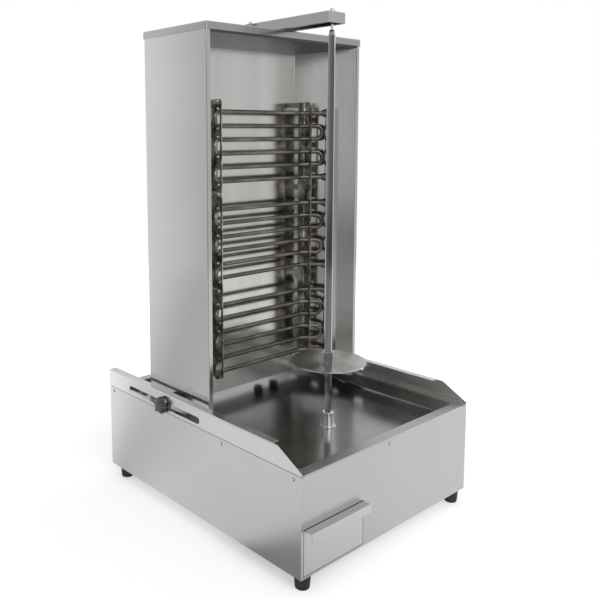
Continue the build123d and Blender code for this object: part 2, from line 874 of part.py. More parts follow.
def base_wiring():
    """The leads inside the base: from the glands to the terminal box, and on to the motor."""
    lead_end = back_y - sheet
    leads = [lengthways(x, terminal_box_back, lead_end, gland_level, lead_radius) for x in base_gland_xs]
    start_y = terminal_box_back - terminal_box_depth / 2
    start = (terminal_box_x - terminal_box_width / 2, start_y, gland_level)
    corner = (0, start_y, gland_level)
    end = (0, spit_y + motor_radius + seat, gland_level)
    route = FilletPolyline(start, corner, end, radius=lead_bend)
    section = Plane(origin=start, z_dir=(-1, 0, 0)) * Circle(lead_radius)
    return group(leads + [sweep(section, path=route)])


# Outer tower

def rear_screw_places():
    """X and Z of the screws that hold the rear panel to the shell's flanges."""
    x = tower_x - rear_flange / 2
    return [(side * x, z) for side in (-1, 1) for z in rear_screw_levels]


def tower_shell():
    """The two folded side sheets, with narrow strips turned in at the front and flanges behind."""
    outer = block(-tower_x, tower_x, tower_front_y, shell_back_y, tower_bottom, lid_under)
    outer = rounded(outer, Axis.Z, tower_bend)
    inner_y = shell_back_y - tower_sheet
    z0 = tower_bottom - cut
    z1 = lid_under + cut
    inner = block(-wall_x, wall_x, return_back_y, inner_y, z0, z1)
    shell = outer - rounded(inner, Axis.Z, tower_bend - tower_sheet)
    shell -= block(-return_x, return_x, tower_front_y - cut, return_back_y + cut, z0, z1)
    gap_x = tower_x - rear_flange
    shell -= block(-gap_x, gap_x, inner_y - cut, tower_back_y, z0, z1)
    for x, z in rear_screw_places():
        shell -= lengthways(x, inner_y - cut, tower_back_y, z, screw_radius + screw_gap)
    return shell


def rear_panel():
    """The flat sheet on the back, with the holes of the controls, the screws and the louvres."""
    x1 = tower_x - tower_bend
    y0 = shell_back_y
    y1 = tower_back_y
    panel = block(-x1, x1, y0, y1, tower_bottom + rear_panel_lift, lid_under - seat)
    for x, z in rear_screw_places():
        panel -= lengthways(x, y0 - cut, y1 + cut, z, screw_radius + screw_gap)
    for z in knob_levels:
        panel -= lengthways(control_x, y0 - cut, y1 + cut, z, knob_shaft_radius + screw_gap)
        panel -= lengthways(control_x + lamp_offset, y0 - cut, y1 + cut, z, lamp_radius)
    half_x = rocker_width / 2 + rocker_gap + bezel_wall / 2
    half_z = rocker_height / 2 + rocker_gap + bezel_wall / 2
    panel -= block(
        control_x - half_x, control_x + half_x, y0 - cut, y1 + cut, rocker_level - half_z, rocker_level + half_z
    )
    half = louvre_length / 2
    for column in (-louvre_column, louvre_column):
        for i in range(louvre_count):
            z = louvre_level + louvre_pitch * i
            panel -= block(column - half, column + half, y0 - cut, y1 + cut, z, z + louvre_width)
    return panel


def tower_lid():
    """The folded lid, with a skirt all round and two long slots for the arm's screws."""
    x1 = tower_x + seat + sheet
    y0 = tower_front_y - seat - sheet
    y1 = tower_back_y + seat + sheet
    z0 = lid_top - lid_skirt
    lid = block(-x1, x1, y0, y1, z0, lid_top)
    lid = rounded(lid, Axis.Z, tower_bend + sheet)
    lid = fillet(lid.edges().group_by(Axis.Z)[-1], lid_bend)
    inner = block(-x1 + sheet, x1 - sheet, y0 + sheet, y1 - sheet, z0 - cut, lid_under)
    lid -= rounded(inner, Axis.Z, tower_bend)
    half = arm_slot_width / 2
    slot_y0 = arm_stud_y - tower_slide_back - arm_slot_margin
    slot_y1 = arm_stud_y + tower_slide_forward + arm_slot_margin
    for x in (-arm_stud_x, arm_stud_x):
        lid -= level_slot(x - half, x + half, slot_y0, slot_y1, lid_under - cut, lid_top + cut)
    return lid


def ceiling_panel():
    """The sheet that closes the heater space, with its front edge turned up."""
    x1 = liner_flange_x
    ceiling = block(-x1, x1, return_back_y, shell_back_y - tower_sheet, ceiling_z, ceiling_top)
    lip_y = return_back_y + tower_sheet
    return ceiling + block(-x1, x1, return_back_y, lip_y, ceiling_z, lid_under - seat)


def liner_outline(offset, reach=0.0):
    """The reflector's trapezoid in plan, moved outwards by an offset and run on past its open front."""
    front_x = liner_front_x + hypot(1, wall_slope) * offset
    back_y1 = reflector_back_y + offset
    back_x = front_x - wall_slope * (back_y1 - return_back_y)
    open_x = front_x + wall_slope * reach
    open_y = return_back_y - reach
    return [(open_x, open_y), (back_x, back_y1), (-back_x, back_y1), (-open_x, open_y)]


def reflector():
    """The bright lining: a back sheet and two slanted walls, with narrow flanges at the front."""
    def at_back(edge):
        return edge.center().Y > reflector_back_y - cut
    outer = plan_prism(liner_outline(tower_sheet), tower_bottom, ceiling_z)
    outer = rounded(outer, Axis.Z, reflector_bend + tower_sheet, at_back)
    inner = plan_prism(liner_outline(0.0, cut), tower_bottom - cut, ceiling_z + cut)
    liner = outer - rounded(inner, Axis.Z, reflector_bend, at_back)
    for side in (-1, 1):
        x0, x1 = sorted((side * liner_front_x, side * liner_flange_x))
        liner += block(x0, x1, return_back_y, return_back_y + tower_sheet, tower_bottom, ceiling_z)
    turn = degrees(atan2(wall_slope, 1))
    x, y = wall_point(duct_start + duct_depth / 2)
    for level in element_levels:
        hole = Cylinder(wire_hole_radius, 6 * tower_sheet)
        liner -= Pos(x, y, level) * Rot(0, 0, turn) * Rot(0, 90, 0) * hole
    return liner


def bottom_plate():
    """The sheet that closes the tower's hollow from below, between reflector and shell."""
    x1 = liner_flange_x
    top = tower_bottom + tower_sheet
    y0 = return_back_y + tower_sheet + seat
    plate = block(-x1, x1, y0, shell_back_y - tower_sheet, tower_bottom, top)
    plate -= plan_prism(liner_outline(tower_sheet + running_gap, cut), tower_bottom - cut, top + cut)
    for x in tower_gland_places:
        plate -= upright(x, tower_gland_y, tower_bottom - cut, top + cut, gland_thread_radius + seat)
    return plate


def insulation_board():
    """The mineral board behind the reflector."""
    y0 = reflector_back_y + tower_sheet
    x1 = liner_back_x - insulation_side_gap
    return block(-x1, x1, y0, y0 + insulation_thickness, tower_bottom + tower_sheet, ceiling_z)


# Heating elements

def leaning(side, s, t, z):
    """A point beyond a tube's plan bend: s along the leaning end and t across it, to the back."""
    x = bend_x + s * cos(lean) + t * sin(lean)
    return (side * x, rod_y - s * sin(lean) + t * cos(lean), z)


def wall_offset(s):
    """How far across the leaning end the reflector's wall lies, at s along it."""
    wall_line = liner_front_x + wall_slope * return_back_y
    bend_line = bend_x + wall_slope * rod_y
    reach = s * (cos(lean) - wall_slope * sin(lean))
    return (wall_line - bend_line - reach) / (sin(lean) + wall_slope * cos(lean))


def wall_point(s):
    """Plan point on the right reflector wall, at s along the leaning end."""
    x, y, _ = leaning(1, s, wall_offset(s), 0)
    return (x, y)


def plan_bend(side, z):
    """Three points of the arc between a rod's straight middle and its leaning end."""
    x = bend_x - bend_radius * tan(lean / 2)
    y = rod_y - bend_radius
    return [(side * (x + bend_radius * sin(a)), y + bend_radius * cos(a), z) for a in (0, lean / 2, lean)]


def end_rods(level):
    """The heights of the two tube ends of one element."""
    return (level + rod_span / 2, level - rod_span / 2)


def element_route(level):
    """One tube's centre line: rods from top to bottom, joined by U-bends at alternate ends."""
    u_radius = rod_pitch / 2
    u_centre = tip_reach - tube_radius - u_radius
    tube_end = duct_start + 2 * duct_wall
    edges = []
    for i in range(rods_per_element):
        z = level + rod_span / 2 - rod_pitch * i
        near = 1 if i % 2 == 0 else -1
        start_s = tube_end if i == 0 else u_centre
        end_s = tube_end if i == rods_per_element - 1 else u_centre
        first = plan_bend(near, z)
        last = plan_bend(-near, z)
        edges.append(Line(leaning(near, start_s, 0, z), first[2]))
        edges.append(ThreePointArc(first[2], first[1], first[0]))
        edges.append(Line(first[0], last[0]))
        edges.append(ThreePointArc(*last))
        edges.append(Line(last[2], leaning(-near, end_s, 0, z)))
        if i < rods_per_element - 1:
            over = leaning(-near, u_centre, 0, z)
            tip = leaning(-near, u_centre + u_radius, 0, z - u_radius)
            under = leaning(-near, u_centre, 0, z - rod_pitch)
            edges.append(ThreePointArc(over, tip, under))
    return Wire([e.edge() for e in edges])


def leaning_bar(s0, s1, z, radius):
    """A round bar along the right leaning end."""
    bar = Cylinder(radius, s1 - s0, align=centred)
    return Pos(*leaning(1, s0, 0, z)) * Rot(0, 0, -bend_angle) * Rot(0, 90, 0) * bar


def heating_element(level):
    """One serpentine tube with a terminal stud on each end."""
    tube_end = duct_start + 2 * duct_wall
    start = leaning(1, tube_end, 0, level + rod_span / 2)
    section = Plane(origin=start, z_dir=(-cos(lean), sin(lean), 0)) * Circle(tube_radius)
    tube = sweep(section, path=element_route(level))
    for z in end_rods(level):
        tube += leaning_bar(tube_end - cut, tube_end + terminal_length, z, terminal_radius)
    return tube


def gland_nut(z):
    """The flared hexagon nut on one tube end."""
    inradius = gland_hex_radius * cos(pi / 6)
    nut = extrude(RegularPolygon(gland_hex_radius, 6), amount=gland_hex_length)
    flare = Cone(inradius, gland_flare_radius, gland_length - gland_hex_length, align=centred)
    nut = nut + Pos(0, 0, gland_hex_length) * flare - Cylinder(tube_radius + thread_gap, 4 * gland_length)
    return Pos(*leaning(1, duct_start, 0, z)) * Rot(0, 0, -bend_angle) * Rot(0, -90, 0) * nut


def gland_nuts():
    """The nuts of all tube ends."""
    return group([gland_nut(z) for level in element_levels for z in end_rods(level)])


def terminal_duct():
    """The upright cover over the tube ends, open towards the reflector's wall."""
    w = duct_wall
    s0 = duct_start
    s1 = duct_start + duct_depth
    z0 = lowest_rod - duct_margin_bottom
    z1 = highest_rod + duct_margin_top
    corners = [(s0, -duct_width), (s1, -duct_width), (s1, wall_offset(s1)), (s0, wall_offset(s0))]
    far0 = wall_offset(s0 + w) + w
    far1 = wall_offset(s1 - w) + w
    hollow = [(s0 + w, w - duct_width), (s1 - w, w - duct_width), (s1 - w, far1), (s0 + w, far0)]
    duct = plan_prism([leaning(1, s, t, 0)[:2] for s, t in corners], z0, z1)
    duct -= plan_prism([leaning(1, s, t, 0)[:2] for s, t in hollow], z0 + w, z1 - w)
    for level in element_levels:
        for z in end_rods(level):
            duct -= leaning_bar(s0 - cut, s0 + w + cut, z, tube_radius + thread_gap)
    return duct


def plate_window(z0, z1):
    """The window of one rod, or of a pair that a U-bend joins, through the right plate."""
    half = tube_radius / cos(lean) + plate_sheet / 2 * tan(lean) + window_gap
    y = rod_y - (plate_x + plate_step - bend_x) * tan(lean)
    x0 = plate_x - 2 * plate_sheet
    x1 = plate_outer_x + plate_sheet
    window = across(x0, x1, y, z0, half)
    if z1 > z0:
        window += across(x0, x1, y, z1, half) + block(x0, x1, y - half, y + half, z0, z1)
    return window


def rod_pairs(level, side):
    """The rods that share a window on one side of an element, as lower and upper levels."""
    rods = [level + rod_span / 2 - rod_pitch * i for i in range(rods_per_element)]
    if side < 0:
        return [(low, high) for high, low in zip(rods[0::2], rods[1::2])]
    inner = [(low, high) for high, low in zip(rods[1:-1:2], rods[2:-1:2])]
    return inner + [(rods[0], rods[0]), (rods[-1], rods[-1])]


def element_plate(side):
    """One upright plate with its stepped front strip, rounded corners and tube windows."""
    half = plate_sheet / 2
    front = plate_x + plate_step
    step0 = plate_front_y + plate_step_y
    step1 = step0 + plate_step
    plan = [
        (plate_x - half, plate_back_y), (plate_x - half, step1),
        (front - half, step0), (front - half, plate_front_y),
        (front + half, plate_front_y), (front + half, step0),
        (plate_x + half, step1), (plate_x + half, plate_back_y),
    ]
    plate = plan_prism(plan, plate_bottom, plate_top)
    plate = rounded(plate, Axis.X, plate_corner, lambda e: e.center().Y < plate_front_y + cut)
    for level in element_levels:
        for z0, z1 in rod_pairs(level, side):
            plate -= plate_window(z0, z1)
    hole_y = plate_front_y + strap_screw_y
    for z in strap_levels():
        plate -= across(plate_x, plate_outer_x + cut, hole_y, z, screw_radius + screw_gap)
    return plate if side > 0 else mirror_x(plate)


def strap_levels():
    """The heights of the plate brackets: between the elements, and at the top."""
    between = [level + element_pitch / 2 + strap_offset for level in element_levels[:-1]]
    return between + [plate_top - strap_drop]


def plate_strap(z):
    """The bracket that holds the right plate to the reflector's back, at one height."""
    x0 = plate_outer_x
    x1 = x0 + strap_sheet
    z0 = z - strap_height / 2
    z1 = min(z + strap_height / 2, plate_top)
    strap = block(x0, x1, plate_front_y + strap_nose, reflector_back_y, z0, z1)
    strap += block(x0 - strap_foot, x1, reflector_back_y - strap_sheet, reflector_back_y, z0, z1)
    hole_y = plate_front_y + strap_screw_y
    return strap - across(x0 - cut, x1 + cut, hole_y, z, screw_radius + screw_gap)


def tower_screws():
    """The screws of the plates' brackets and of the rear panel."""
    x = plate_outer_x + strap_sheet
    y = plate_front_y + strap_screw_y
    right = [Pos(x, y, z) * round_screw() for z in strap_levels()]
    rear = [Pos(px, tower_back_y, z) * Rot(0, 0, 90) * round_screw() for px, z in rear_screw_places()]
    return group(right + [mirror_x(s) for s in right] + rear)


# Controls and wiring of the tower

def heat_regulator(z):
    """The switch block behind one knob, with the bore for the knob's shaft."""
    half = regulator_size / 2
    y0 = shell_back_y - regulator_depth
    body = block(control_x - half, control_x + half, y0, shell_back_y, z - half, z + half)
    body = rounded(body, Axis.Y, regulator_corner)
    bore_y = shell_back_y - regulator_bore_depth - seat
    return body - lengthways(control_x, bore_y, shell_back_y + cut, z, knob_shaft_radius + running_gap)


def heat_knob(z):
    """A fluted knob with a raised pointer and its own shaft."""
    y0 = tower_back_y + seat
    y1 = y0 + knob_height
    knob = lengthways(control_x, y0, y1, z, knob_radius)
    knob = fillet(knob.edges().sort_by(Axis.Y)[-1], knob_bend)
    for i in range(knob_flutes):
        angle = 2 * pi * (i + 0.5) / knob_flutes
        x = control_x + knob_radius * cos(angle)
        knob -= lengthways(x, y0 + knob_skirt, y1 + cut, z + knob_radius * sin(angle), flute_radius)
    half = pointer_width / 2
    pointer_top = z + knob_radius - 2 * knob_bend
    pointer = block(control_x - half, control_x + half, y1 - cut, y1 + pointer_height, z, pointer_top)
    shaft_y = shell_back_y - regulator_bore_depth
    return knob + pointer + lengthways(control_x, shaft_y, y0 + cut, z, knob_shaft_radius)


def pilot_lamp(z):
    """A domed pilot lamp with its body behind the panel."""
    x = control_x + lamp_offset
    dome = lengthways(x, tower_back_y, tower_back_y + lamp_height, z, lamp_radius + lamp_flange)
    dome = fillet(dome.edges().sort_by(Axis.Y)[-1], lamp_dome)
    return dome + lengthways(x, shell_back_y - lamp_body, tower_back_y + cut, z, lamp_radius - screw_gap)


def switch_housing():
    """The housing and bezel of the motor switch, with the hollow that the rocker tilts in."""
    half_x = rocker_width / 2 + rocker_gap
    half_z = rocker_height / 2 + rocker_gap
    body_x = half_x + bezel_wall / 2 - screw_gap
    body_z = half_z + bezel_wall / 2 - screw_gap
    x = control_x
    z = rocker_level
    y0 = shell_back_y - switch_depth
    face = tower_back_y + bezel_height
    body = block(x - body_x, x + body_x, y0, tower_back_y, z - body_z, z + body_z)
    rim_x = half_x + bezel_wall
    rim_z1 = half_z + bezel_wall
    bezel = block(x - rim_x, x + rim_x, tower_back_y, face, z - rim_z1, z + rim_z1)
    hollow_y = rocker_y - rocker_thickness / 2 - 3 * rocker_gap
    hollow = block(x - half_x, x + half_x, hollow_y, face + cut, z - half_z, z + half_z)
    return body + bezel - hollow


def motor_rocker():
    """The switch rocker, tilted to its off position, with its pivot pin."""
    half_x = rocker_width / 2
    half_y = rocker_thickness / 2
    half_z = rocker_height / 2
    body = block(-half_x, half_x, -half_y, half_y, -half_z, half_z)
    body = rounded(body, Axis.X, rocker_pin_radius)
    pin_x = half_x + rocker_gap - running_gap
    body += across(-pin_x, pin_x, 0, 0, rocker_pin_radius)
    return Pos(control_x, rocker_y, rocker_level) * Rot(rocker_tilt, 0, 0) * body


def wiring_loom():
    """The bundled leads behind the reflector, from the glands up past the controls."""
    y = tower_gland_y - loom_setback
    z0 = tower_bottom + tower_sheet
    z1 = z0 + loom_rise
    x1 = wall_x - loom_radius - seat
    start = (control_x, y, z0)
    top = (x1, y, ceiling_z - loom_rise)
    route = FilletPolyline(start, (control_x, y, z1), (x1, y, z1), top, radius=loom_bend)
    return sweep(Plane(origin=start, z_dir=(0, 0, 1)) * Circle(loom_radius), path=route)


def tower_gland(x):
    """A cable gland that hangs under the tower's bottom plate."""
    y = tower_gland_y
    plate_top_z = tower_bottom + tower_sheet
    top = plate_top_z + gland_flange
    low = tower_bottom - tower_gland_drop
    nut = upright(x, y, plate_top_z, top, gland_nut_radius)
    thread = upright(x, y, tower_bottom - gland_flange, top, gland_thread_radius)
    dome = upright(x, y, low, tower_bottom, gland_nut_radius)
    dome = fillet(dome.edges().sort_by(Axis.Z)[0], gland_flange)
    return nut + thread + dome - upright(x, y, low - cut, top + cut, gland_bore_radius)


# Tower clamps and slide shoes

def clamp_bracket():
    """The channel on the right side that the clamp stud screws into, with its weld nut."""
    half = clamp_bracket_length / 2
    t = clamp_bracket_sheet
    z0 = slot_z - clamp_bracket_height / 2
    z1 = slot_z + clamp_bracket_height / 2
    x1 = guard_gap_x
    nut_x = x1 - t - weld_nut_length
    bracket = block(tower_x, x1, clamp_y - half, clamp_y + half, z0, z1)
    bracket -= block(tower_x + t, x1 - t, clamp_y - half - cut, clamp_y + half + cut, z0 - cut, z1 - t)
    bracket += hex_bar_x(nut_x, x1 - t, clamp_y, slot_z, weld_nut_radius)
    return bracket - across(nut_x - cut, x1 + cut, clamp_y, slot_z, stud_radius + running_gap)


def slide_shoe(y):
    """The angle under the right side that slides on the guard's foot."""
    z0 = body_top + sheet + seat
    y1 = y + shoe_length
    sole = block(tower_x, tower_x + shoe_reach, y, y1, z0, z0 + shoe_sheet)
    return sole + block(tower_x, tower_x + shoe_sheet, y, y1, z0, z0 + shoe_height)


def clamp_stud():
    """The right threaded stud with the washer on it."""
    washer_x = half_width + seat
    inner = guard_gap_x - clamp_bracket_sheet - weld_nut_length + cut
    outer = clamp_knob_x + clamp_knob_thickness - clamp_knob_web
    stud = across(inner, outer, clamp_y, slot_z, stud_radius)
    washer = across(washer_x, clamp_knob_x, clamp_y, slot_z, washer_radius)
    hole = across(washer_x - cut, clamp_knob_x + cut, clamp_y, slot_z, stud_radius + running_gap)
    return group([stud, washer - hole])


def domed_bar(x0, x1, y, z, radius):
    """A round bar along X with its outer edge rounded."""
    bar = across(x0, x1, y, z, radius)
    return fillet(bar.edges().sort_by(Axis.X)[-1], clamp_knob_bend)


def clamp_knob():
    """The right star knob: round lobes with shallow hollows between them, over the stud's end."""
    x0 = clamp_knob_x
    x1 = x0 + clamp_knob_thickness
    ring = clamp_knob_radius - clamp_lobe_radius
    knob = domed_bar(x0, x1, clamp_y, slot_z, ring)
    for i in range(clamp_knob_lobes):
        angle = 2 * pi * i / clamp_knob_lobes + pi / 2
        y = clamp_y + ring * cos(angle)
        knob += domed_bar(x0, x1, y, slot_z + ring * sin(angle), clamp_lobe_radius)
    hole_end = x1 - clamp_knob_web + seat
    return knob - across(x0 - cut, hole_end, clamp_y, slot_z, stud_radius + thread_gap)


# Top arm

def top_arm():
    """The arm: a channel with inward lips, a closed front, pads underneath and lugs for screws."""
    half = arm_width / 2
    t = arm_sheet
    y0 = arm_front_y
    y1 = arm_back_y
    arm = block(-half, half, y0, y1, arm_bottom, arm_top)
    long_edges = arm.edges().filter_by(Axis.Y).group_by(Axis.Z)[-1]
    front_edge = arm.edges().filter_by(Axis.X).group_by(Axis.Z)[-1].sort_by(Axis.Y)[0]
    arm = fillet(list(long_edges) + [front_edge], arm_bend)
    arm -= block(-half + t, half - t, y0 + t, y1 + cut, arm_bottom + t, arm_top - t)
    gap = half - arm_lip
    arm -= block(-gap, gap, y0 + t, y1 + cut, arm_bottom - cut, arm_bottom + 2 * t)
    lug_y = arm_stud_y - arm_lug_length / 2
    for side in (-1, 1):
        x0, x1 = sorted((side * gap, side * half))
        arm += block(x0, x1, y0 + arm_pad_start, y1, arm_bottom - arm_pad_thickness, arm_bottom)
        x0, x1 = sorted((side * (half - t), side * (half + arm_lug_reach)))
        arm += block(x0, x1, lug_y, lug_y + arm_lug_length, arm_lug_top - t, arm_lug_top)
        hole = upright(side * arm_stud_x, arm_stud_y, arm_bottom, arm_top + cut, arm_stud_radius + screw_gap)
        arm -= hole
    return arm - upright(0, spit_y, arm_top - t - cut, arm_top + cut, bush_radius + thread_gap)


def arm_screws():
    """The two long screws that clamp the arm to the lid."""
    z0 = lid_under - seat - nut_plate_height
    head_top = arm_lug_top + arm_stud_head_height
    screws = []
    for x in (-arm_stud_x, arm_stud_x):
        head = upright(x, arm_stud_y, arm_lug_top, head_top, arm_stud_head_radius)
        head = fillet(head.edges().sort_by(Axis.Z)[-1], arm_stud_head_height / 4)
        screws.append(head + upright(x, arm_stud_y, z0, arm_lug_top + seat, arm_stud_radius))
    return group(screws)


def arm_nut_plate():
    """The tapped plate under the lid that the arm's screws pull on."""
    z1 = lid_under - seat
    z0 = z1 - nut_plate_height
    half_x = nut_plate_width / 2
    half_y = nut_plate_length / 2
    plate = block(-half_x, half_x, arm_stud_y - half_y, arm_stud_y + half_y, z0, z1)
    for x in (-arm_stud_x, arm_stud_x):
        plate -= upright(x, arm_stud_y, z0 - cut, z1 + cut, arm_stud_radius + thread_gap)
    return plate


def pin_bush():
    """The flanged bush in the arm that guides the upper pin."""
    z0 = arm_top - bush_length
    bush = upright(0, spit_y, z0, pin_seat_z, bush_radius)
    bush += upright(0, spit_y, arm_top, pin_seat_z, bush_flange_radius)
    return bush - upright(0, spit_y, z0 - cut, pin_seat_z + cut, pin_radius + running_gap)


def top_pin():
    """The upper pin: a round head over the bush and a shank down into the spit."""
    head = upright(0, spit_y, pin_seat_z, pin_seat_z + pin_head_height, pin_head_radius)
    head = fillet(head.edges().sort_by(Axis.Z)[-1], pin_head_height / 4)
    return head + upright(0, spit_y, spit_tip_z - pin_depth, pin_seat_z + cut, pin_radius)


def sub_parts():
    """Every sub-part of the grill by its node name."""
    knob = clamp_knob()
    stud = clamp_stud()
    guard = guard_right()
    parts = {
        "base_casing": base_casing(),
        "front_panel": front_panel(),
        "base_floor": base_floor(),
        "side_rails": both_sides([side_rail()]),
        "casing_screws": casing_screws(),
        "feet": group([foot(x, y) for x, y in foot_places()]),
        "foot_screws": group([foot_screw(x, y) for x, y in foot_places()]),
        "drip_pan": drip_pan(),
        "drain_spout": drain_spout(),
        "guard_left": mirror_x(guard),
        "guard_right": guard,
        "drawer_runners": group([runner(-1), runner(1)]),
        "motor_bracket": motor_bracket(),
        "gearbox": gearbox(),
        "motor": motor(),
        "shaft_seal": shaft_seal(),
        "terminal_box": terminal_box(),
        "base_wiring": base_wiring(),
        "base_glands": group([base_gland(x) for x in base_gland_xs]),
        "drawer_tray": drawer_tray(),
        "drawer_front": drawer_front(),
        "drive_shaft": drive_shaft(),
        "drive_boss": drive_boss(),
        "spit_bar": spit_bar(),
        "spit_disc": spit_disc(),
        "disc_hub": disc_hub(),
        "tower_shell": tower_shell(),
        "rear_panel": rear_panel(),
        "reflector": reflector(),
        "tower_lid": tower_lid(),
        "ceiling_panel": ceiling_panel(),
        "bottom_plate": bottom_plate(),
        "insulation_board": insulation_board(),
        "heating_elements": group([heating_element(level) for level in element_levels]),
        "element_plate_left": element_plate(-1),
        "element_plate_right": element_plate(1),
        "plate_straps": both_sides([plate_strap(z) for z in strap_levels()]),
        "tower_screws": tower_screws(),
        "gland_nuts": gland_nuts(),
        "terminal_duct": terminal_duct(),
        "wiring_loom": wiring_loom(),
        "clamp_brackets": both_sides([clamp_bracket()]),
        "slide_shoes": both_sides([slide_shoe(shoe_front_y), slide_shoe(shoe_back_y)]),
        "heat_regulators": group([heat_regulator(z) for z in knob_levels]),
        "switch_housing": switch_housing(),
        "pilot_lamps": group([pilot_lamp(z) for z in knob_levels]),
        "tower_glands": group([tower_gland(x) for x in tower_gland_places]),
        "clamp_knob_left": mirror_x(knob),
        "clamp_stud_left": mirror_x(stud),
        "clamp_knob_right": knob,
        "clamp_stud_right": stud,
        "motor_rocker": motor_rocker(),
        "top_arm": top_arm(),
        "arm_screws": arm_screws(),
        "arm_nut_plate": arm_nut_plate(),
        "pin_bush": pin_bush(),
        "top_pin": top_pin(),
    }
    for name, z in zip(knob_names, knob_levels):
        parts[f"heat_knob_{name}"] = heat_knob(z)
    return parts


os.makedirs("parts", exist_ok=True)
for node_name, node_shape in sub_parts().items():
    export_step(node_shape, f"parts/{node_name}.step")
print(f"overall height {pin_seat_z + pin_head_height:.1f} mm")
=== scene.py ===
"""Doner kebab grill: finishes, smooth turned and bent pieces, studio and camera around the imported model."""
import json
from math import cos, pi, radians, sin, tan

import bpy
import numpy as np
from bpy.props import FloatProperty, FloatVectorProperty, IntProperty, PointerProperty
from mathutils import Matrix, Vector


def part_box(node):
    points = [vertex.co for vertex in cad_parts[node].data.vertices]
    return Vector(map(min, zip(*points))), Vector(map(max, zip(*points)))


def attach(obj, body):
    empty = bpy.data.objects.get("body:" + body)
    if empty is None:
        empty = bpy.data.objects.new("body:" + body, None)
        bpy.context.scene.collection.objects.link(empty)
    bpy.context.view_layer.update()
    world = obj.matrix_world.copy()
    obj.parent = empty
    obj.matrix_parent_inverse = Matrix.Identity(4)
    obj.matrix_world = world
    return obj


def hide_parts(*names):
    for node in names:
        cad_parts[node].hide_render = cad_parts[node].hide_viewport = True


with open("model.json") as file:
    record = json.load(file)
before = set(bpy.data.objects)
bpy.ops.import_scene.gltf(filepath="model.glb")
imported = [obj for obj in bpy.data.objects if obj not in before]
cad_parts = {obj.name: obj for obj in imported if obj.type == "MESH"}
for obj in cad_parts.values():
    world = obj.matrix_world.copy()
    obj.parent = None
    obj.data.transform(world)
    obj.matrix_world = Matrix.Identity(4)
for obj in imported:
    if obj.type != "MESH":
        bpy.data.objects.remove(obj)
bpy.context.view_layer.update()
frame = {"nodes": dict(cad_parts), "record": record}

bl_info = {
    "name": "Doner kebab grill",
    "version": (1, 0, 0),
    "blender": (4, 5, 0),
    "location": "3D View > Sidebar > Grill",
    "description": "Dresses the grill's model with finishes and smooth pieces, and sets up its studio",
    "category": "Object",
}

SHARP_ANGLE = radians(32)


def middle_of(node):
    """The middle of a CAD node's box."""
    low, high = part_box(node)
    return [(a + b) / 2 for a, b in zip(low, high)]


# Places read from the frame, in metres
SPIT_X, SPIT_Y, _ = middle_of("spit_bar")
SPIT_LOW, SPIT_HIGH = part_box("spit_bar")
RACK_LOW, RACK_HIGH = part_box("heating_elements")
FEET_LOW, FEET_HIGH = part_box("feet")
KNOB_LOW, KNOB_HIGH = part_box("clamp_knob_right")
PAN_LOW, PAN_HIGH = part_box("drip_pan")

# The heater: its elements, and the rods of each
ELEMENTS = 3
RODS = 6

# The reflector's walls: their sheet, and half the open width at the front and at the back
WALL_SHEET = 0.001
LINER_FRONT = 0.195
LINER_BACK = 0.128

# CAD nodes with another finish than their slot's: its grain or sheen, or a lighter or darker copy as painted
# light or shade
OWN_FINISHES = {
    "front_panel": "casing_steel_level",
    "drawer_front": "drawer_steel",
    "tower_shell": "casing_steel_upright",
    "rear_panel": "casing_steel_upright",
    "guard_left": "guard_steel",
    "guard_right": "guard_steel",
    "spit_disc": "disc_steel",
    "tower_lid": "lid_steel",
    "top_arm": "arm_steel",
    "plate_straps": "reflector_steel",
}

# Side of a rubber foot as (height, how far it stands out): a groove low down and a bead near the top
FOOT_SIDE = ((0.0030, 0.0), (0.0042, 0.0), (0.0046, -0.0005), (0.0054, -0.0005), (0.0058, 0.0),
             (0.0130, 0.0), (0.0200, 0.0), (0.0212, 0.0004), (0.0228, 0.0004))

# Levels of the room round the object as metal sees it, by compass angle from +X in degrees: a bright
# screen at the back left, a dim gap at the front left where the camera stands, and even light elsewhere
ROOM_LEVELS = ((-180, 0.66), (-161, 0.62), (-152, 0.16), (-136, 0.14), (-118, 0.50), (-80, 0.66),
               (-45, 0.70), (0, 0.66), (30, 0.78), (60, 0.78), (90, 0.80), (121, 1.34), (131, 0.50),
               (150, 0.70), (180, 0.66))
# How much dimmer the room is low down, by the same angle: a dark floor at the left
FLOOR_DIMMING = ((-180, 0.10), (-171, 0.72), (-152, 0.72), (-140, 0.30), (-128, 0.0), (168, 0.0),
                 (180, 0.10))

# How much less than the room's level metal sees of the floor
FLOOR_LOSS = 0.09

# Soft lamps: name, width and height in metres, and place
LAMPS = {
    "key": ("key_lamp", 2.4, 1.8, (-0.9, -2.4, 2.1)),
    "fill": ("fill_lamp", 2.4, 2.0, (2.6, -0.4, 1.5)),
}
LAMP_TARGET = (0.0, 0.0, 0.45)

# The camera at the left front: place in metres, angles in degrees, and the frame's shift
CAMERA_PLACE = (-1.001594, -1.024428, 0.720810)
CAMERA_YAW = -41.078
CAMERA_PITCH = 6.717
CAMERA_ROLL = -0.208
CAMERA_SHIFT = (0.1, -0.1333)


class Wire:
    """A shader socket that Python's arithmetic works on: each operator adds one Math node."""

    def __init__(self, recipe, socket):
        self.recipe = recipe
        self.socket = socket

    def maths(self, operation, first, second):
        """One Math node on two values or wires."""
        return self.recipe.add("ShaderNodeMath", {"operation": operation}, [first, second])

    def __add__(self, other):
        return self.maths("ADD", self, other)

    def __sub__(self, other):
        return self.maths("SUBTRACT", self, other)

    def __rsub__(self, other):
        return self.maths("SUBTRACT", other, self)

    def __mul__(self, other):
        return self.maths("MULTIPLY", self, other)

    def __truediv__(self, other):
        return self.maths("DIVIDE", self, other)

    def __pow__(self, other):
        return self.maths("POWER", self, other)

    __radd__ = __add__
    __rmul__ = __mul__

    def clipped(self):
        """The value kept between 0 and 1."""
        return self.recipe.add("ShaderNodeClamp", {}, [self, 0.0, 1.0])


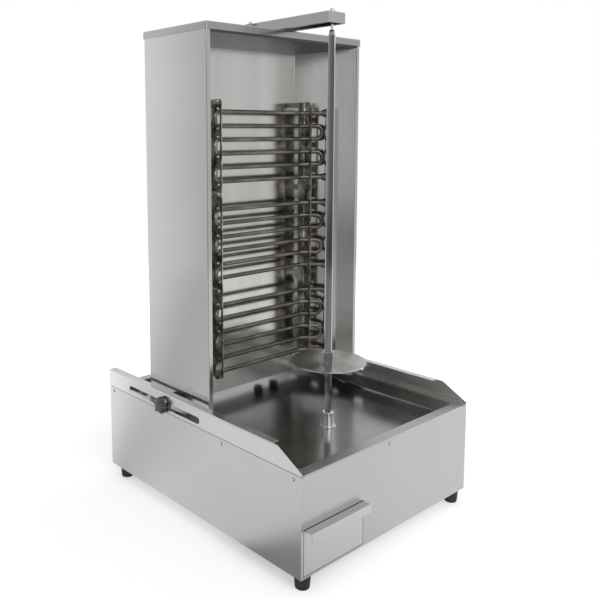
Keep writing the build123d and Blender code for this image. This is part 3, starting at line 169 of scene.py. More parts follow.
class Recipe:
    """The node tree of one finish or of the world."""

    def __init__(self, owner):
        owner.use_nodes = True
        self.tree = owner.node_tree
        self.tree.nodes.clear()

    def add(self, kind, settings=None, inputs=(), output=0):
        """One node: its settings first, then its sockets by number or name."""
        node = self.tree.nodes.new(kind)
        for key, value in (settings or {}).items():
            if key == "stops":
                set_stops(node.color_ramp, value)
            else:
                setattr(node, key, value)
        pairs = inputs.items() if isinstance(inputs, dict) else enumerate(inputs)
        for key, value in pairs:
            if isinstance(value, Wire):
                self.tree.links.new(value.socket, node.inputs[key])
            else:
                node.inputs[key].default_value = value
        return Wire(self, node.outputs[output] if len(node.outputs) else None)

    def place(self):
        """Object coordinates, in metres."""
        return self.add("ShaderNodeTexCoord", output="Object")

    def axis(self, vector, name):
        """One of a vector's three parts, X, Y or Z."""
        return self.add("ShaderNodeSeparateXYZ", inputs=[vector], output=name)

    def noise(self, factors, detail=2.0, roughness=0.5, vector=None):
        """Noise from 0 to 1 with its own frequency along X, Y and Z, or one for all three, in cycles
        per metre."""
        if isinstance(factors, float):
            factors = (factors, factors, factors)
        settings = {"operation": "MULTIPLY"}
        coords = self.add("ShaderNodeVectorMath", settings, [vector or self.place(), factors])
        sockets = {"Vector": coords, "Scale": 1.0, "Detail": detail, "Roughness": roughness}
        return self.add("ShaderNodeTexNoise", inputs=sockets)

    def ramp(self, value, stops):
        """A smooth scale of colours over a value."""
        return self.add("ShaderNodeValToRGB", {"stops": stops}, [value])

    def rise(self, value, low, high):
        """0 up to the low value, 1 from the high one, and a straight slope between them."""
        return self.ramp(value, [(low, 0.0), (high, 1.0)])

    def blend(self, factor, first, second):
        """A colour between two, by the factor."""
        settings = {"data_type": "RGBA"}
        return self.add("ShaderNodeMix", settings, {0: factor, 6: first, 7: second}, output=2)

    def surface(self, colour, rough, height, bump, distance, metallic=1.0, constants=None):
        """A Principled shader: colour, roughness and bump vary, and the rest is constant."""
        sockets = {"Strength": bump, "Distance": distance, "Height": height}
        normal = self.add("ShaderNodeBump", inputs=sockets)
        links = {"Base Color": colour, "Roughness": rough, "Normal": normal}
        inputs = {"Metallic": metallic, **(constants or {}), **links}
        self.output("Material", self.add("ShaderNodeBsdfPrincipled", inputs=inputs))

    def output(self, kind, shader):
        """The tree's Material or World output, fed by a shader."""
        self.add(f"ShaderNodeOutput{kind}", inputs={"Surface": shader})


def set_stops(ramp, stops):
    """Fills a colour ramp with (place, grey or colour) pairs."""
    for _ in stops[2:]:
        ramp.elements.new(0.5)
    for element, (place, colour) in zip(ramp.elements, stops):
        element.position = place
        element.color = rgba(colour)


def rgba(colour):
    """A grey number or three numbers as a colour with alpha."""
    if isinstance(colour, (int, float)):
        return (colour, colour, colour, 1.0)
    return (*colour[:3], 1.0)


def shade(colour, factor):
    """The colour times a number, kept at most white."""
    return rgba([min(1.0, c * factor) for c in colour[:3]])


# Finishes

def new_finish(name):
    """An empty finish and its recipe."""
    material = bpy.data.materials.new(f"{name}_finish")
    return material, Recipe(material)


def finish_of(name):
    """The finish that was made under a name, which is one of the record's slots or a variant."""
    return bpy.data.materials[f"{name}_finish"]


def grain_factors(grain, across, along):
    """Frequencies of a pattern that is drawn out along one axis."""
    return tuple(along if axis == grain else across for axis in "xyz")


def brushed_steel(name, tone, grain, roughness=0.26, blotch=0.05, bump=0.05, streak=0.03):
    """Satin sheet: fine brush lines along one axis, faint clouds and wiping marks."""
    _, r = new_finish(name)
    fine = r.noise(grain_factors(grain, 1500.0, 18.0), detail=3.0, roughness=0.65)
    broad = r.noise(grain_factors(grain, 260.0, 3.0))
    cloud = r.noise(4.0, detail=3.0)
    wipe = r.noise(26.0, detail=4.0, roughness=0.6)
    lines = fine * 0.8 + broad * 0.2
    mix = (lines * streak + cloud * blotch) / (streak + blotch)
    colour = r.blend(r.rise(mix, 0.30, 0.70), shade(tone, 0.95), shade(tone, 1.05))
    rough = roughness - 0.04 + lines * 0.05 + wipe * 0.03
    r.surface(colour, rough, lines, bump, distance=0.0006)


def ring_brushed(name, tone, roughness=0.13):
    """Sheet brushed in rings about the spit: the lines follow the distance from its middle."""
    _, r = new_finish(name)
    place = r.place()
    x = r.axis(place, "X") - SPIT_X
    y = r.axis(place, "Y") - SPIT_Y
    reach = (x * x + y * y) ** 0.5
    coords = r.add("ShaderNodeCombineXYZ", inputs=[reach, 0.0, 0.0])
    ring = r.noise((1400.0, 1.0, 1.0), detail=3.0, roughness=0.7, vector=coords)
    smear = r.noise(60.0, detail=4.0, roughness=0.6)
    colour = r.blend(r.rise(smear, 0.30, 0.70), shade(tone, 0.88), shade(tone, 1.08))
    rough = roughness - 0.03 + ring * 0.06 + smear * 0.05
    r.surface(colour, rough, ring, bump=0.8, distance=0.0006)


def polished_pan(name, tone):
    """Cold-rolled bright sheet of the pan: a dim mirror with fine scratches and slow waves, and a
    lighter, satin rim."""
    _, r = new_finish(name)
    wave = r.noise((5.0, 5.0, 9.0), detail=1.0)
    scratch = r.noise((40.0, 900.0, 300.0), detail=3.0, roughness=0.7)
    smear = r.noise((9.0, 11.0, 12.0), detail=4.0, roughness=0.6)
    share = (r.axis(r.place(), "Z") - PAN_LOW.z) / (PAN_HIGH.z - PAN_LOW.z)
    rim = r.rise(share, 0.93, 0.97)
    floor = r.blend(r.rise(smear, 0.32, 0.68), shade(tone, 0.90), shade(tone, 1.10))
    colour = r.blend(rim, floor, shade(tone, 1.35))
    rough = 0.15 + smear * 0.06 + scratch * 0.04 + rim * 0.16
    r.surface(colour, rough, wave * 0.9 + scratch * 0.01, bump=0.16, distance=0.004)


def heat_mirror(name, tone):
    """Bright liner sheet: vertical rolling bands and light heat marks."""
    _, r = new_finish(name)
    band = r.noise((22.0, 22.0, 0.6), detail=1.0)
    fine = r.noise((900.0, 900.0, 14.0), roughness=0.7)
    mark = r.noise((16.0, 16.0, 9.0), detail=5.0, roughness=0.65)
    straw = r.rise(mark, 0.56, 0.80)
    steel = r.blend(r.rise(band, 0.35, 0.65), shade(tone, 0.96), shade(tone, 1.05))
    colour = r.blend(straw * 0.20, steel, rgba((0.42, 0.38, 0.33)))
    rough = 0.09 + fine * 0.06 + mark * 0.06
    r.surface(colour, rough, fine, bump=0.6, distance=0.00012)


def scorched_steel(name, tone):
    """Heat-stained plate: bare metal under brown and grey scale in small patches."""
    _, r = new_finish(name)
    patch = r.noise((48.0, 48.0, 34.0), detail=6.0, roughness=0.66)
    speck = r.noise(420.0, detail=3.0, roughness=0.7)
    dent = r.noise((120.0, 120.0, 90.0))
    scale = r.ramp(patch, [(0.36, shade(tone, 0.30)), (0.48, shade(tone, 0.75)),
                           (0.54, shade(tone, 1.5)), (0.62, shade(tone, 2.4))])
    colour = r.blend(r.rise(speck, 0.50, 0.68) * 0.45, scale, shade(tone, 0.40))
    rough = 0.16 + patch * 0.30 + speck * 0.06
    r.surface(colour, rough, dent * 0.9 + speck * 0.1, bump=0.6, distance=0.0022)


def tube_sheath(name, tone):
    """Tubular element: oxide tints that change along the tube, and fine drawing lines."""
    _, r = new_finish(name)
    along = r.add("ShaderNodeTexCoord", output="UV")
    tint = r.noise((14.0, 0.6, 1.0), detail=4.0, roughness=0.6, vector=along)
    line = r.noise((4.0, 60.0, 1.0), vector=along)
    colour = r.ramp(tint, [(0.25, shade(tone, 0.60)), (0.48, tone), (0.62, shade(tone, 1.5)),
                           (0.80, shade(tone, 1.9))])
    rough = 0.22 + tint * 0.14 + line * 0.05
    r.surface(colour, rough, tint * 0.6 + line * 0.4, bump=0.12, distance=0.0004)


def turned_metal(name, tone, roughness=0.16):
    """Turned or drawn bright metal with close tool marks."""
    _, r = new_finish(name)
    ring = r.noise((260.0, 260.0, 1700.0))
    dull = r.noise(60.0, detail=4.0, roughness=0.6)
    colour = r.blend(dull, shade(tone, 0.86), shade(tone, 1.10))
    rough = roughness - 0.03 + ring * 0.06 + dull * 0.10
    r.surface(colour, rough, ring, bump=0.08, distance=0.0003)


def moulded(name, tone, roughness=0.42, bump=0.22, gloss=0.0):
    """Moulded plastic: fine spark-eroded grain, faint flow marks and rubbed shine."""
    _, r = new_finish(name)
    pit = r.noise(900.0, roughness=0.6)
    flow = r.noise((38.0, 38.0, 22.0), detail=3.0)
    colour = r.blend(flow, shade(tone, 0.80), shade(tone, 1.25))
    rough = roughness + pit * 0.10 - flow * 0.08
    coat = {"Coat Weight": gloss, "Coat Roughness": 0.12}
    r.surface(colour, rough, pit, bump, distance=0.0003, metallic=0.0, constants=coat)


def soft_rubber(name, tone):
    """Matt rubber: dusty grey in broad patches with a fine skin."""
    _, r = new_finish(name)
    dust = r.noise(70.0, detail=5.0, roughness=0.65)
    skin = r.noise(1500.0)
    colour = r.blend(r.rise(dust, 0.45, 0.80), rgba(tone), shade(tone, 2.2))
    rough = 0.55 + dust * 0.20 + skin * 0.05
    r.surface(colour, rough, skin * 0.6 + dust * 0.4, bump=0.25, distance=0.0004, metallic=0.0)


def cast_metal(name, tone):
    """Painted casting: orange-peel skin with worn, paler high spots."""
    _, r = new_finish(name)
    peel = r.noise(520.0, detail=3.0, roughness=0.6)
    worn = r.noise(45.0, detail=5.0, roughness=0.7)
    colour = r.blend(r.rise(worn, 0.55, 0.72), rgba(tone), shade(tone, 1.7))
    rough = 0.42 + peel * 0.15 - worn * 0.10
    r.surface(colour, rough, peel, bump=0.4, distance=0.0006, metallic=0.2)


def fibre_board(name, tone):
    """Pressed mineral fibre: tangled strands over paler and darker patches."""
    _, r = new_finish(name)
    strand = r.noise((700.0, 180.0, 260.0), detail=5.0, roughness=0.75)
    patch = r.noise(28.0, detail=4.0)
    colour = r.blend(strand * 0.6 + patch * 0.4, shade(tone, 0.72), shade(tone, 1.16))
    rough = 0.86 + strand * 0.10
    r.surface(colour, rough, strand, bump=0.6, distance=0.0012, metallic=0.0)


def lamp_lens(name, tone):
    """Amber pilot lens: ribbed inside, glossy outside, unlit."""
    _, r = new_finish(name)
    rib = r.noise((900.0, 60.0, 900.0), detail=1.0)
    depth = r.noise(200.0, detail=3.0)
    colour = r.blend(rib * 0.5 + depth * 0.5, shade(tone, 0.62), shade(tone, 1.25))
    rough = 0.10 + depth * 0.08
    coat = {"Coat Weight": 0.6, "Coat Roughness": 0.05}
    r.surface(colour, rough, rib, bump=0.15, distance=0.0004, metallic=0.0, constants=coat)


# Surfaces worked out with numpy

def grid_faces(rows, columns, ring=False):
    """Four-cornered faces of a grid that closes on itself across its columns, and in a ring across
    its rows too."""
    i, j = np.meshgrid(np.arange(rows if ring else rows - 1), np.arange(columns), indexing="ij")
    k = (j + 1) % columns
    n = (i + 1) % rows
    corners = [i * columns + j, i * columns + k, n * columns + k, n * columns + j]
    return np.stack(corners, axis=-1).reshape(-1, 4).tolist()


def closed_tube(rings):
    """Vertices and faces of rings of points, with a flat face over each end."""
    rows, columns, _ = rings.shape
    faces = grid_faces(rows, columns)
    faces.append(list(range(columns - 1, -1, -1)))
    faces.append(list(range((rows - 1) * columns, rows * columns)))
    return rings.reshape(-1, 3), faces


def joined(parts):
    """Several (vertices, faces) as one."""
    vertices = []
    faces = []
    count = 0
    for points, cells in parts:
        vertices.append(points)
        faces += [[index + count for index in cell] for cell in cells]
        count += len(points)
    return np.concatenate(vertices), faces


def full_turn(steps):
    """Evenly spaced angles round a circle."""
    return np.linspace(0, 2 * pi, steps, endpoint=False)


def turned(profile, centre, steps):
    """A profile of (radius, height) pairs turned once around an upright axis through the centre:
    the point is the centre plus the height upwards plus the radius times the turning direction."""
    angle = full_turn(steps)
    spoke = np.stack([np.cos(angle), np.sin(angle), np.zeros(steps)], axis=1)
    radius, height = profile.T[:, :, None, None]
    return closed_tube(np.array(centre) + height * (0, 0, 1) + radius * spoke)


def arc(centre, radius, start, end, steps=6):
    """Points of an arc in the profile's plane, angles in degrees."""
    angle = np.radians(np.linspace(start, end, steps))
    return np.stack([centre[0] + radius * np.cos(angle), centre[1] + radius * np.sin(angle)], axis=1)


def build_piece(name, shape, body, slot, finish=None, replaces=(), uv=None):
    """Puts vertices and faces into a mesh in the row frame and lets it ride on its body. Its finish
    is its slot's unless another is named."""
    vertices, faces = shape
    mesh = bpy.data.meshes.new(name)
    mesh.from_pydata(np.asarray(vertices).tolist(), [], faces)
    mesh.polygons.foreach_set("use_smooth", np.ones(len(mesh.polygons), bool))
    mesh.set_sharp_from_angle(angle=SHARP_ANGLE)
    if uv is not None:
        corner = np.zeros(len(mesh.loops), np.int32)
        mesh.loops.foreach_get("vertex_index", corner)
        layer = mesh.uv_layers.new(name="along")
        layer.uv.foreach_set("vector", np.asarray(uv, np.float32)[corner].ravel())
    mesh.materials.append(finish_of(finish or slot))
    mesh.validate()
    piece = bpy.data.objects.new(name, mesh)
    bpy.context.scene.collection.objects.link(piece)
    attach(piece, body)
    if replaces:
        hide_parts(*replaces)


# Settings that a user would change

class RackSettings(bpy.types.PropertyGroup):
    """Sizes of the serpentine tubular elements."""
    tube_radius: FloatProperty(name="Tube radius", description="Half the diameter of an element's tube",
                               default=0.00425, unit="LENGTH")
    rod_pitch: FloatProperty(name="Rod pitch", description="Height from one rod to the next",
                             default=0.0267, unit="LENGTH")
    element_pitch: FloatProperty(name="Element pitch", description="Height from one element to the next",
                                 default=0.188, unit="LENGTH")
    bend_x: FloatProperty(name="Bend place", description="Where the rods turn forwards, from the middle",
                          default=0.111, unit="LENGTH")
    bend_angle: FloatProperty(name="Bend angle", description="How far the rod ends lean forwards",
                              default=radians(41.0), subtype="ANGLE")
    bend_radius: FloatProperty(name="Bend radius", description="Radius of the plan bends",
                               default=0.015, unit="LENGTH")
    tip_reach: FloatProperty(name="Tip reach", description="Length of the leaning ends",
                             default=0.050, unit="LENGTH")
    end_reach: FloatProperty(name="End reach", description="Length of the ends that carry the terminals",
                             default=0.055, unit="LENGTH")
    terminal_length: FloatProperty(name="Terminal length", description="Length of a terminal stud",
                                   default=0.010, unit="LENGTH")
    terminal_radius: FloatProperty(name="Terminal radius", description="Half a terminal stud's diameter",
                                   default=0.002, unit="LENGTH")
    around: IntProperty(name="Facets", description="Faces around a tube", default=20, min=8, max=64)


class KnobSettings(bpy.types.PropertyGroup):
    """Sizes of the star knobs that clamp the tower."""
    lobes: IntProperty(name="Lobes", description="Number of lobes", default=5, min=3, max=9)
    depth: FloatProperty(name="Hollow depth", description="How deep the hollows between the lobes are",
                         default=0.0042, unit="LENGTH")
    crown: FloatProperty(name="Crown", description="Rounding of the outer edge", default=0.0032,
                         unit="LENGTH")
    dome: FloatProperty(name="Dome", description="How high the outer face swells", default=0.0010,
                        unit="LENGTH")


class FootSettings(bpy.types.PropertyGroup):
    """Sizes of the rubber feet."""
    top: FloatProperty(name="Top radius", description="Radius under the casing", default=0.0142,
                       unit="LENGTH")
    sole: FloatProperty(name="Sole radius", description="Radius at the sole", default=0.0120,
                        unit="LENGTH")
    rim: FloatProperty(name="Rim", description="Rounding of the sole's edge", default=0.0015,
                       unit="LENGTH")


class SpitSettings(bpy.types.PropertyGroup):
    """Sizes of the square spit."""
    half: FloatProperty(name="Half width", description="Half the side of the square", default=0.006,
                        unit="LENGTH")
    corner: FloatProperty(name="Corner", description="Radius of the long edges", default=0.0007,
                          unit="LENGTH")
    taper: FloatProperty(name="Taper", description="Height of the narrowing tip", default=0.010,
                         unit="LENGTH")
    tip: FloatProperty(name="Tip", description="Half the side under the tip's ground end", default=0.0042,
                       unit="LENGTH")
    turn: FloatProperty(name="Turn", description="How the square stands at rest", default=radians(35.0),
                        subtype="ANGLE")


class StudioSettings(bpy.types.PropertyGroup):
    """Light levels and the camera's lens."""
    ambient: FloatProperty(name="Ambient", description="Level of the light from all round", default=0.62)
    key: FloatProperty(name="Key lamp", description="Power of the main lamp", default=26.0, unit="POWER")
    fill: FloatProperty(name="Fill lamp", description="Power of the second lamp", default=10.0, unit="POWER")
    lens: FloatProperty(name="Lens", description="Focal length on a 36 mm sensor", default=43.763,
                        unit="CAMERA")
    floor_tone: FloatVectorProperty(name="Floor", description="Colour of the floor", subtype="COLOR",
                                    default=(0.86, 0.86, 0.86), min=0.0, max=1.0)


class SteelSettings(bpy.types.PropertyGroup):
    """Colours of the main sheets."""
    casing: FloatVectorProperty(name="Casing", description="Brushed outer sheets", subtype="COLOR",
                                default=(0.60, 0.60, 0.59), min=0.0, max=1.0)
    pan: FloatVectorProperty(name="Pan", description="Polished drip pan", subtype="COLOR",
                             default=(0.375, 0.375, 0.37), min=0.0, max=1.0)
    liner: FloatVectorProperty(name="Liner", description="Bright reflector sheets", subtype="COLOR",
                               default=(0.64, 0.635, 0.62), min=0.0, max=1.0)
    sheath: FloatVectorProperty(name="Sheath", description="Element tubes", subtype="COLOR",
                                default=(0.16, 0.148, 0.13), min=0.0, max=1.0)


# Operators

class GRILL_OT_finishes(bpy.types.Operator):
    """Makes one finish for every material slot of the record, variants in grain, and lighter or darker copies
    as painted light or shade
    """
    bl_idname = "grill.finishes"
    bl_label = "Make finishes"

    def execute(self, context):
        steel = context.scene.grill_steel
        casing = tuple(steel.casing)
        # Painted light: this slot's sheets get a slightly lighter copy of the front panel's steel
        brushed_steel("casing_steel", shade(casing, 1.04), "y")
        brushed_steel("casing_steel_level", casing, "x")
        # Painted light: the drawer front gets a lighter copy of the front panel's steel
        brushed_steel("drawer_steel", shade(casing, 1.14), "x")
        # Upright grain and a smoother sheen, and a darker copy of the casing steel: painted shade
        brushed_steel("casing_steel_upright", shade(casing, 0.90), "z", roughness=0.13)
        # Painted light: the guards get a lighter copy of the casing steel, a little smoother
        brushed_steel("guard_steel", shade(casing, 1.16), "y", roughness=0.22)
        brushed_steel("lid_steel", shade(casing, 0.70), "x", roughness=0.18)
        # Painted light: the top arm gets a lighter copy of the lid's steel
        brushed_steel("arm_steel", shade(casing, 0.88), "y", roughness=0.18)
        # Painted shade: the ceiling sheet gets a very dark copy of the casing steel
        brushed_steel("ceiling_steel", shade(casing, 0.16), "x", roughness=0.28)
        ring_brushed("disc_steel", shade(casing, 0.92))
        polished_pan("pan_steel", tuple(steel.pan))
        heat_mirror("reflector_steel", tuple(steel.liner))
        brushed_steel("plain_steel", shade(casing, 0.84), "y", roughness=0.33)
        scorched_steel("scorched_plate", (0.36, 0.34, 0.315))
        tube_sheath("element_sheath", tuple(steel.sheath))
        turned_metal("element_brass", (0.20, 0.19, 0.175), roughness=0.24)
        brushed_steel("spit_steel", shade(casing, 0.95), "z", roughness=0.10, bump=0.02)
        turned_metal("boss_chrome", (0.74, 0.74, 0.74), roughness=0.05)
        turned_metal("drain_chrome", (0.90, 0.90, 0.90), roughness=0.30)
        turned_metal("bright_fasteners", (0.64, 0.64, 0.63))
        cast_metal("cast_housing", (0.26, 0.27, 0.28))
        cast_metal("motor_paint", (0.06, 0.06, 0.065))
        fibre_board("mineral_board", (0.74, 0.70, 0.60))
        soft_rubber("black_rubber", (0.022, 0.022, 0.024))
        soft_rubber("lead_rubber", (0.035, 0.033, 0.032))
        moulded("knob_plastic", (0.045, 0.050, 0.050), roughness=0.30, gloss=0.2)
        moulded("black_plastic", (0.040, 0.040, 0.042), gloss=0.15)
        moulded("grey_plastic", (0.50, 0.50, 0.49))
        moulded("rocker_plastic", (0.03, 0.20, 0.07), roughness=0.16, bump=0.05, gloss=0.4)
        lamp_lens("lamp_amber", (0.72, 0.27, 0.04))
        return {"FINISHED"}


class GRILL_OT_dress_sheets(bpy.types.Operator):
    """Gives every CAD node the finish of its slot, or its own variant of it"""
    bl_idname = "grill.dress_sheets"
    bl_label = "Dress the CAD pieces"

    def execute(self, context):
        for part in frame["record"]["subparts"]:
            node = part["node"]
            mesh = frame["nodes"][node].data
            mesh.materials.clear()
            mesh.materials.append(finish_of(OWN_FINISHES.get(node, part["material_slot"])))
        return {"FINISHED"}


def serpentine(rack, level, rod_y, steps=9):
    """Centre line of one element and the horizontal direction to its back at each point: straight
    rods, plan bends that turn the direction by the bend angle, leaning ends and U-bends between."""
    lean = rack.bend_angle
    u_radius = rack.rod_pitch / 2
    u_centre = rack.tip_reach - rack.tube_radius - u_radius
    bend_centre = rack.bend_x - rack.bend_radius * tan(lean / 2)
    past_bend = 0.012
    rod_stations = 26
    turn = np.linspace(0, lean, steps)
    half_turn = np.linspace(0, pi, 2 * steps)[1:-1]
    points = []
    backs = []

    def bend(side, z):
        x = side * (bend_centre + rack.bend_radius * np.sin(turn))
        y = rod_y - rack.bend_radius + rack.bend_radius * np.cos(turn)
        back = np.stack([side * np.sin(turn), np.cos(turn), 0 * turn], axis=1)
        return np.stack([x, y, np.full(steps, z)], axis=1), back

    def leaning(side, s, z):
        x = side * (rack.bend_x + s * cos(lean))
        y = rod_y - s * sin(lean)
        back = np.tile([side * sin(lean), cos(lean), 0.0], (len(s), 1))
        return np.stack([x, y, z + 0 * s], axis=1), back

    terminal_end = np.linspace(past_bend, rack.end_reach, 5)
    inner_end = np.linspace(past_bend, u_centre, 3)
    for i in range(RODS):
        z = level + rack.rod_pitch * ((RODS - 1) / 2 - i)
        near = 1 if i % 2 == 0 else -1
        first, first_back = bend(near, z)
        last, last_back = bend(-near, z)
        middle = np.linspace(first[0], last[0], rod_stations)[1:-1]
        run = [
            leaning(near, (terminal_end if i == 0 else inner_end)[::-1], z),
            (first[::-1], first_back[::-1]),
            (middle, np.tile([0.0, 1.0, 0.0], (len(middle), 1))),
            (last, last_back),
            leaning(-near, terminal_end if i == RODS - 1 else inner_end, z),
        ]
        if i < RODS - 1:
            s = u_centre + u_radius * np.sin(half_turn)
            run.append(leaning(-near, s, z - u_radius + u_radius * np.cos(half_turn)))
        points += [part[0] for part in run]
        backs += [part[1] for part in run]
    return np.concatenate(points), np.concatenate(backs)


def tube_along(points, backs, radius, around):
    """Rings round a centre line: each point is the centre plus the radius times the cosine of the
    angle towards the back and its sine towards the direction square to the back and the line. The
    UV is the length along the line and the share of the turn."""
    tangent = np.gradient(points, axis=0)
    tangent /= np.linalg.norm(tangent, axis=1)[:, None]
    side = np.cross(tangent, backs)
    side /= np.linalg.norm(side, axis=1)[:, None]
    angle = full_turn(around)
    spoke = backs[:, None] * np.cos(angle)[None, :, None] + side[:, None] * np.sin(angle)[None, :, None]
    rings = points[:, None] + radius * spoke
    reach = np.concatenate([[0.0], np.cumsum(np.linalg.norm(np.diff(points, axis=0), axis=1))])
    uv = np.stack(np.broadcast_arrays(reach[:, None], angle[None] / (2 * pi)), axis=-1).reshape(-1, 2)
    return closed_tube(rings), uv


class GRILL_OT_heating_tubes(bpy.types.Operator):
    """Bends the three serpentine heating tubes and their terminal studs"""
    bl_idname = "grill.heating_tubes"
    bl_label = "Heating tubes"

    def execute(self, context):
        rack = context.scene.grill_rack
        lowest = RACK_LOW.z + rack.tube_radius + (RODS - 1) / 2 * rack.rod_pitch
        rod_y = RACK_HIGH.y - rack.tube_radius
        tint_shift = 7.3
        stud_root = 0.002
        stud_facets = 12
        tubes = []
        for i in range(ELEMENTS):
            points, backs = serpentine(rack, lowest + i * rack.element_pitch, rod_y)
            shape, uv = tube_along(points, backs, rack.tube_radius, rack.around)
            tubes.append((shape, uv + (i * tint_shift, 0.0)))
            for end, inner in ((0, 1), (-1, -2)):
                outward = points[end] - points[inner]
                outward /= np.linalg.norm(outward)
                stud = points[end] + outward * np.array([[-stud_root], [rack.terminal_length]])
                tubes.append(tube_along(stud, backs[[end, end]], rack.terminal_radius, stud_facets))
        build_piece("heating_tubes", joined([shape for shape, _ in tubes]), "tower", "element_sheath",
                    replaces=["heating_elements"], uv=np.concatenate([uv for _, uv in tubes]))
        return {"FINISHED"}


def star_knob(side, knob):
    """A star knob on the X axis: its outline's radius falls from the lobes' tips by half the depth
    times one less the cosine of the lobes times the angle, and a little more on their flanks. It
    narrows towards the guard and over a quarter circle at the outer edge, and ends in a low dome."""
    _, centre_y, centre_z = middle_of("clamp_stud_right")
    outer = KNOB_HIGH.z - centre_z
    flank = 0.10
    pole = 0.04
    facets = 120
    angle = full_turn(facets)
    wave = np.cos(knob.lobes * (angle - pi / 2))
    plan = outer - knob.depth / 2 * (1 - wave) - flank * knob.depth * (1 - wave) * (1 + wave)
    back = np.array([(0.0, 0.80), (0.0, 0.93), (0.0006, 1.0)])
    quarter = np.linspace(0, pi / 2, 9)
    crown_start = KNOB_HIGH.x - KNOB_LOW.x - knob.dome - knob.crown
    height = np.concatenate([back[:, 0], crown_start + knob.crown * np.sin(quarter)])
    inset = np.concatenate([(1 - back[:, 1]) * outer, knob.crown * (1 - np.cos(quarter))])
    radius = plan[None, :] - inset[:, None]
    inwards = np.linspace(0, 1, 8)[1:]
    dome_radius = radius[-1][None, :] * (1 - inwards[:, None] * (1 - pole)) + outer * 0.001
    dome_height = height[-1] + knob.dome * (1 - (1 - inwards) ** 2)
    radius = np.concatenate([radius, dome_radius])
    height = np.concatenate([height, dome_height])
    x = side * (KNOB_LOW.x + height[:, None] + 0 * angle)
    y = centre_y + radius * np.cos(angle)
    z = centre_z + radius * np.sin(angle)
    rings = np.stack([x, y, z], axis=-1)
    return closed_tube(rings if side > 0 else rings[:, ::-1])


class GRILL_OT_clamp_knobs(bpy.types.Operator):
    """Moulds the two star knobs that clamp the tower"""
    bl_idname = "grill.clamp_knobs"
    bl_label = "Clamp knobs"

    def execute(self, context):
        for side, word in ((1, "right"), (-1, "left")):
            build_piece(f"star_knob_{word}", star_knob(side, context.scene.grill_knob), f"{word}_clamp",
                        "knob_plastic", replaces=[f"clamp_knob_{word}"])
        return {"FINISHED"}


def foot_profile(foot, height):
    """Profile of a rubber foot: the screw's hollow, the sole with its round rim, and a skirt that
    widens evenly to the top, with a groove and a bead."""
    slope = (foot.top - foot.sole) / height
    hollow_depth = 0.0040
    hollow = [(foot.sole * 0.42, hollow_depth), (foot.sole * 0.44, 0.0)]
    rim = arc((foot.sole - foot.rim, foot.rim), foot.rim, -90, 0)
    side = [(foot.sole + slope * z + out, z) for z, out in (*FOOT_SIDE, (height, 0.0))]
    return np.concatenate([hollow, rim, side, [(foot.top * 0.97, height)]])


class GRILL_OT_feet(bpy.types.Operator):
    """Turns the four rubber feet"""
    bl_idname = "grill.feet"
    bl_label = "Rubber feet"

    def execute(self, context):
        foot = context.scene.grill_foot
        facets = 56
        profile = foot_profile(foot, FEET_HIGH.z - FEET_LOW.z)
        shapes = []
        for x in (FEET_LOW.x + foot.top, FEET_HIGH.x - foot.top):
            for y in (FEET_LOW.y + foot.top, FEET_HIGH.y - foot.top):
                shapes.append(turned(profile, (x, y, FEET_LOW.z), facets))
        build_piece("rubber_feet", joined(shapes), "base", "black_rubber", replaces=["feet"])
        return {"FINISHED"}


def rounded_square(half, corner, turn, around=48):
    """Outline of a square with round corners: a quarter circle of the corner's radius at each
    corner, with straight sides between them, turned about the middle."""
    angle = np.linspace(0, pi / 2, around // 4)
    pieces = []
    for quarter, centre in enumerate(((1, 1), (-1, 1), (-1, -1), (1, -1))):
        a = angle + quarter * pi / 2
        circle = np.stack([np.cos(a), np.sin(a)], axis=1)
        pieces.append((half - corner) * np.array(centre) + corner * circle)
    rotate = np.array([[cos(turn), sin(turn)], [-sin(turn), cos(turn)]])
    return np.concatenate(pieces) @ rotate


class GRILL_OT_spit(bpy.types.Operator):
    """Draws the square spit with its eased edges and ground, tapered tip"""
    bl_idname = "grill.spit"
    bl_label = "Spit"

    def execute(self, context):
        spit = context.scene.grill_spit
        straight_top = SPIT_HIGH.z - spit.taper
        foot_bevel, foot_rise = 0.0004, 0.0006
        shoulder_bevel, shoulder_rise = 0.0001, 0.0015
        tip_bevel, tip_rise = 0.0006, 0.0008
        straight = np.linspace(SPIT_LOW.z + 0.004, straight_top - shoulder_rise, 12)
        stations = [(SPIT_LOW.z, spit.half - foot_bevel), (SPIT_LOW.z + foot_rise, spit.half)]
        stations += [(z, spit.half) for z in straight]
        stations += [(straight_top, spit.half - shoulder_bevel), (SPIT_HIGH.z - tip_rise, spit.tip),
                     (SPIT_HIGH.z, spit.tip - tip_bevel)]
        rings = []
        for z, reach in stations:
            outline = rounded_square(reach, min(spit.corner, reach / 3), spit.turn)
            level = np.full((len(outline), 1), z)
            rings.append(np.concatenate([outline + (SPIT_X, SPIT_Y), level], axis=1))
        build_piece("square_spit", closed_tube(np.array(rings)), "spit", "spit_steel", replaces=["spit_bar"])
        return {"FINISHED"}


def sloped_sheet(profile, half_width):
    """A folded sheet: its side profile of (y, z) points, carried from one slanted wall to the other:
    the point is half the width at that y, to the one side and to the other, then y and z."""
    y, z = np.asarray(profile, float).T
    x = half_width(y)
    return closed_tube(np.array([np.stack([side * x, y, z], axis=1) for side in (-1, 1)]))


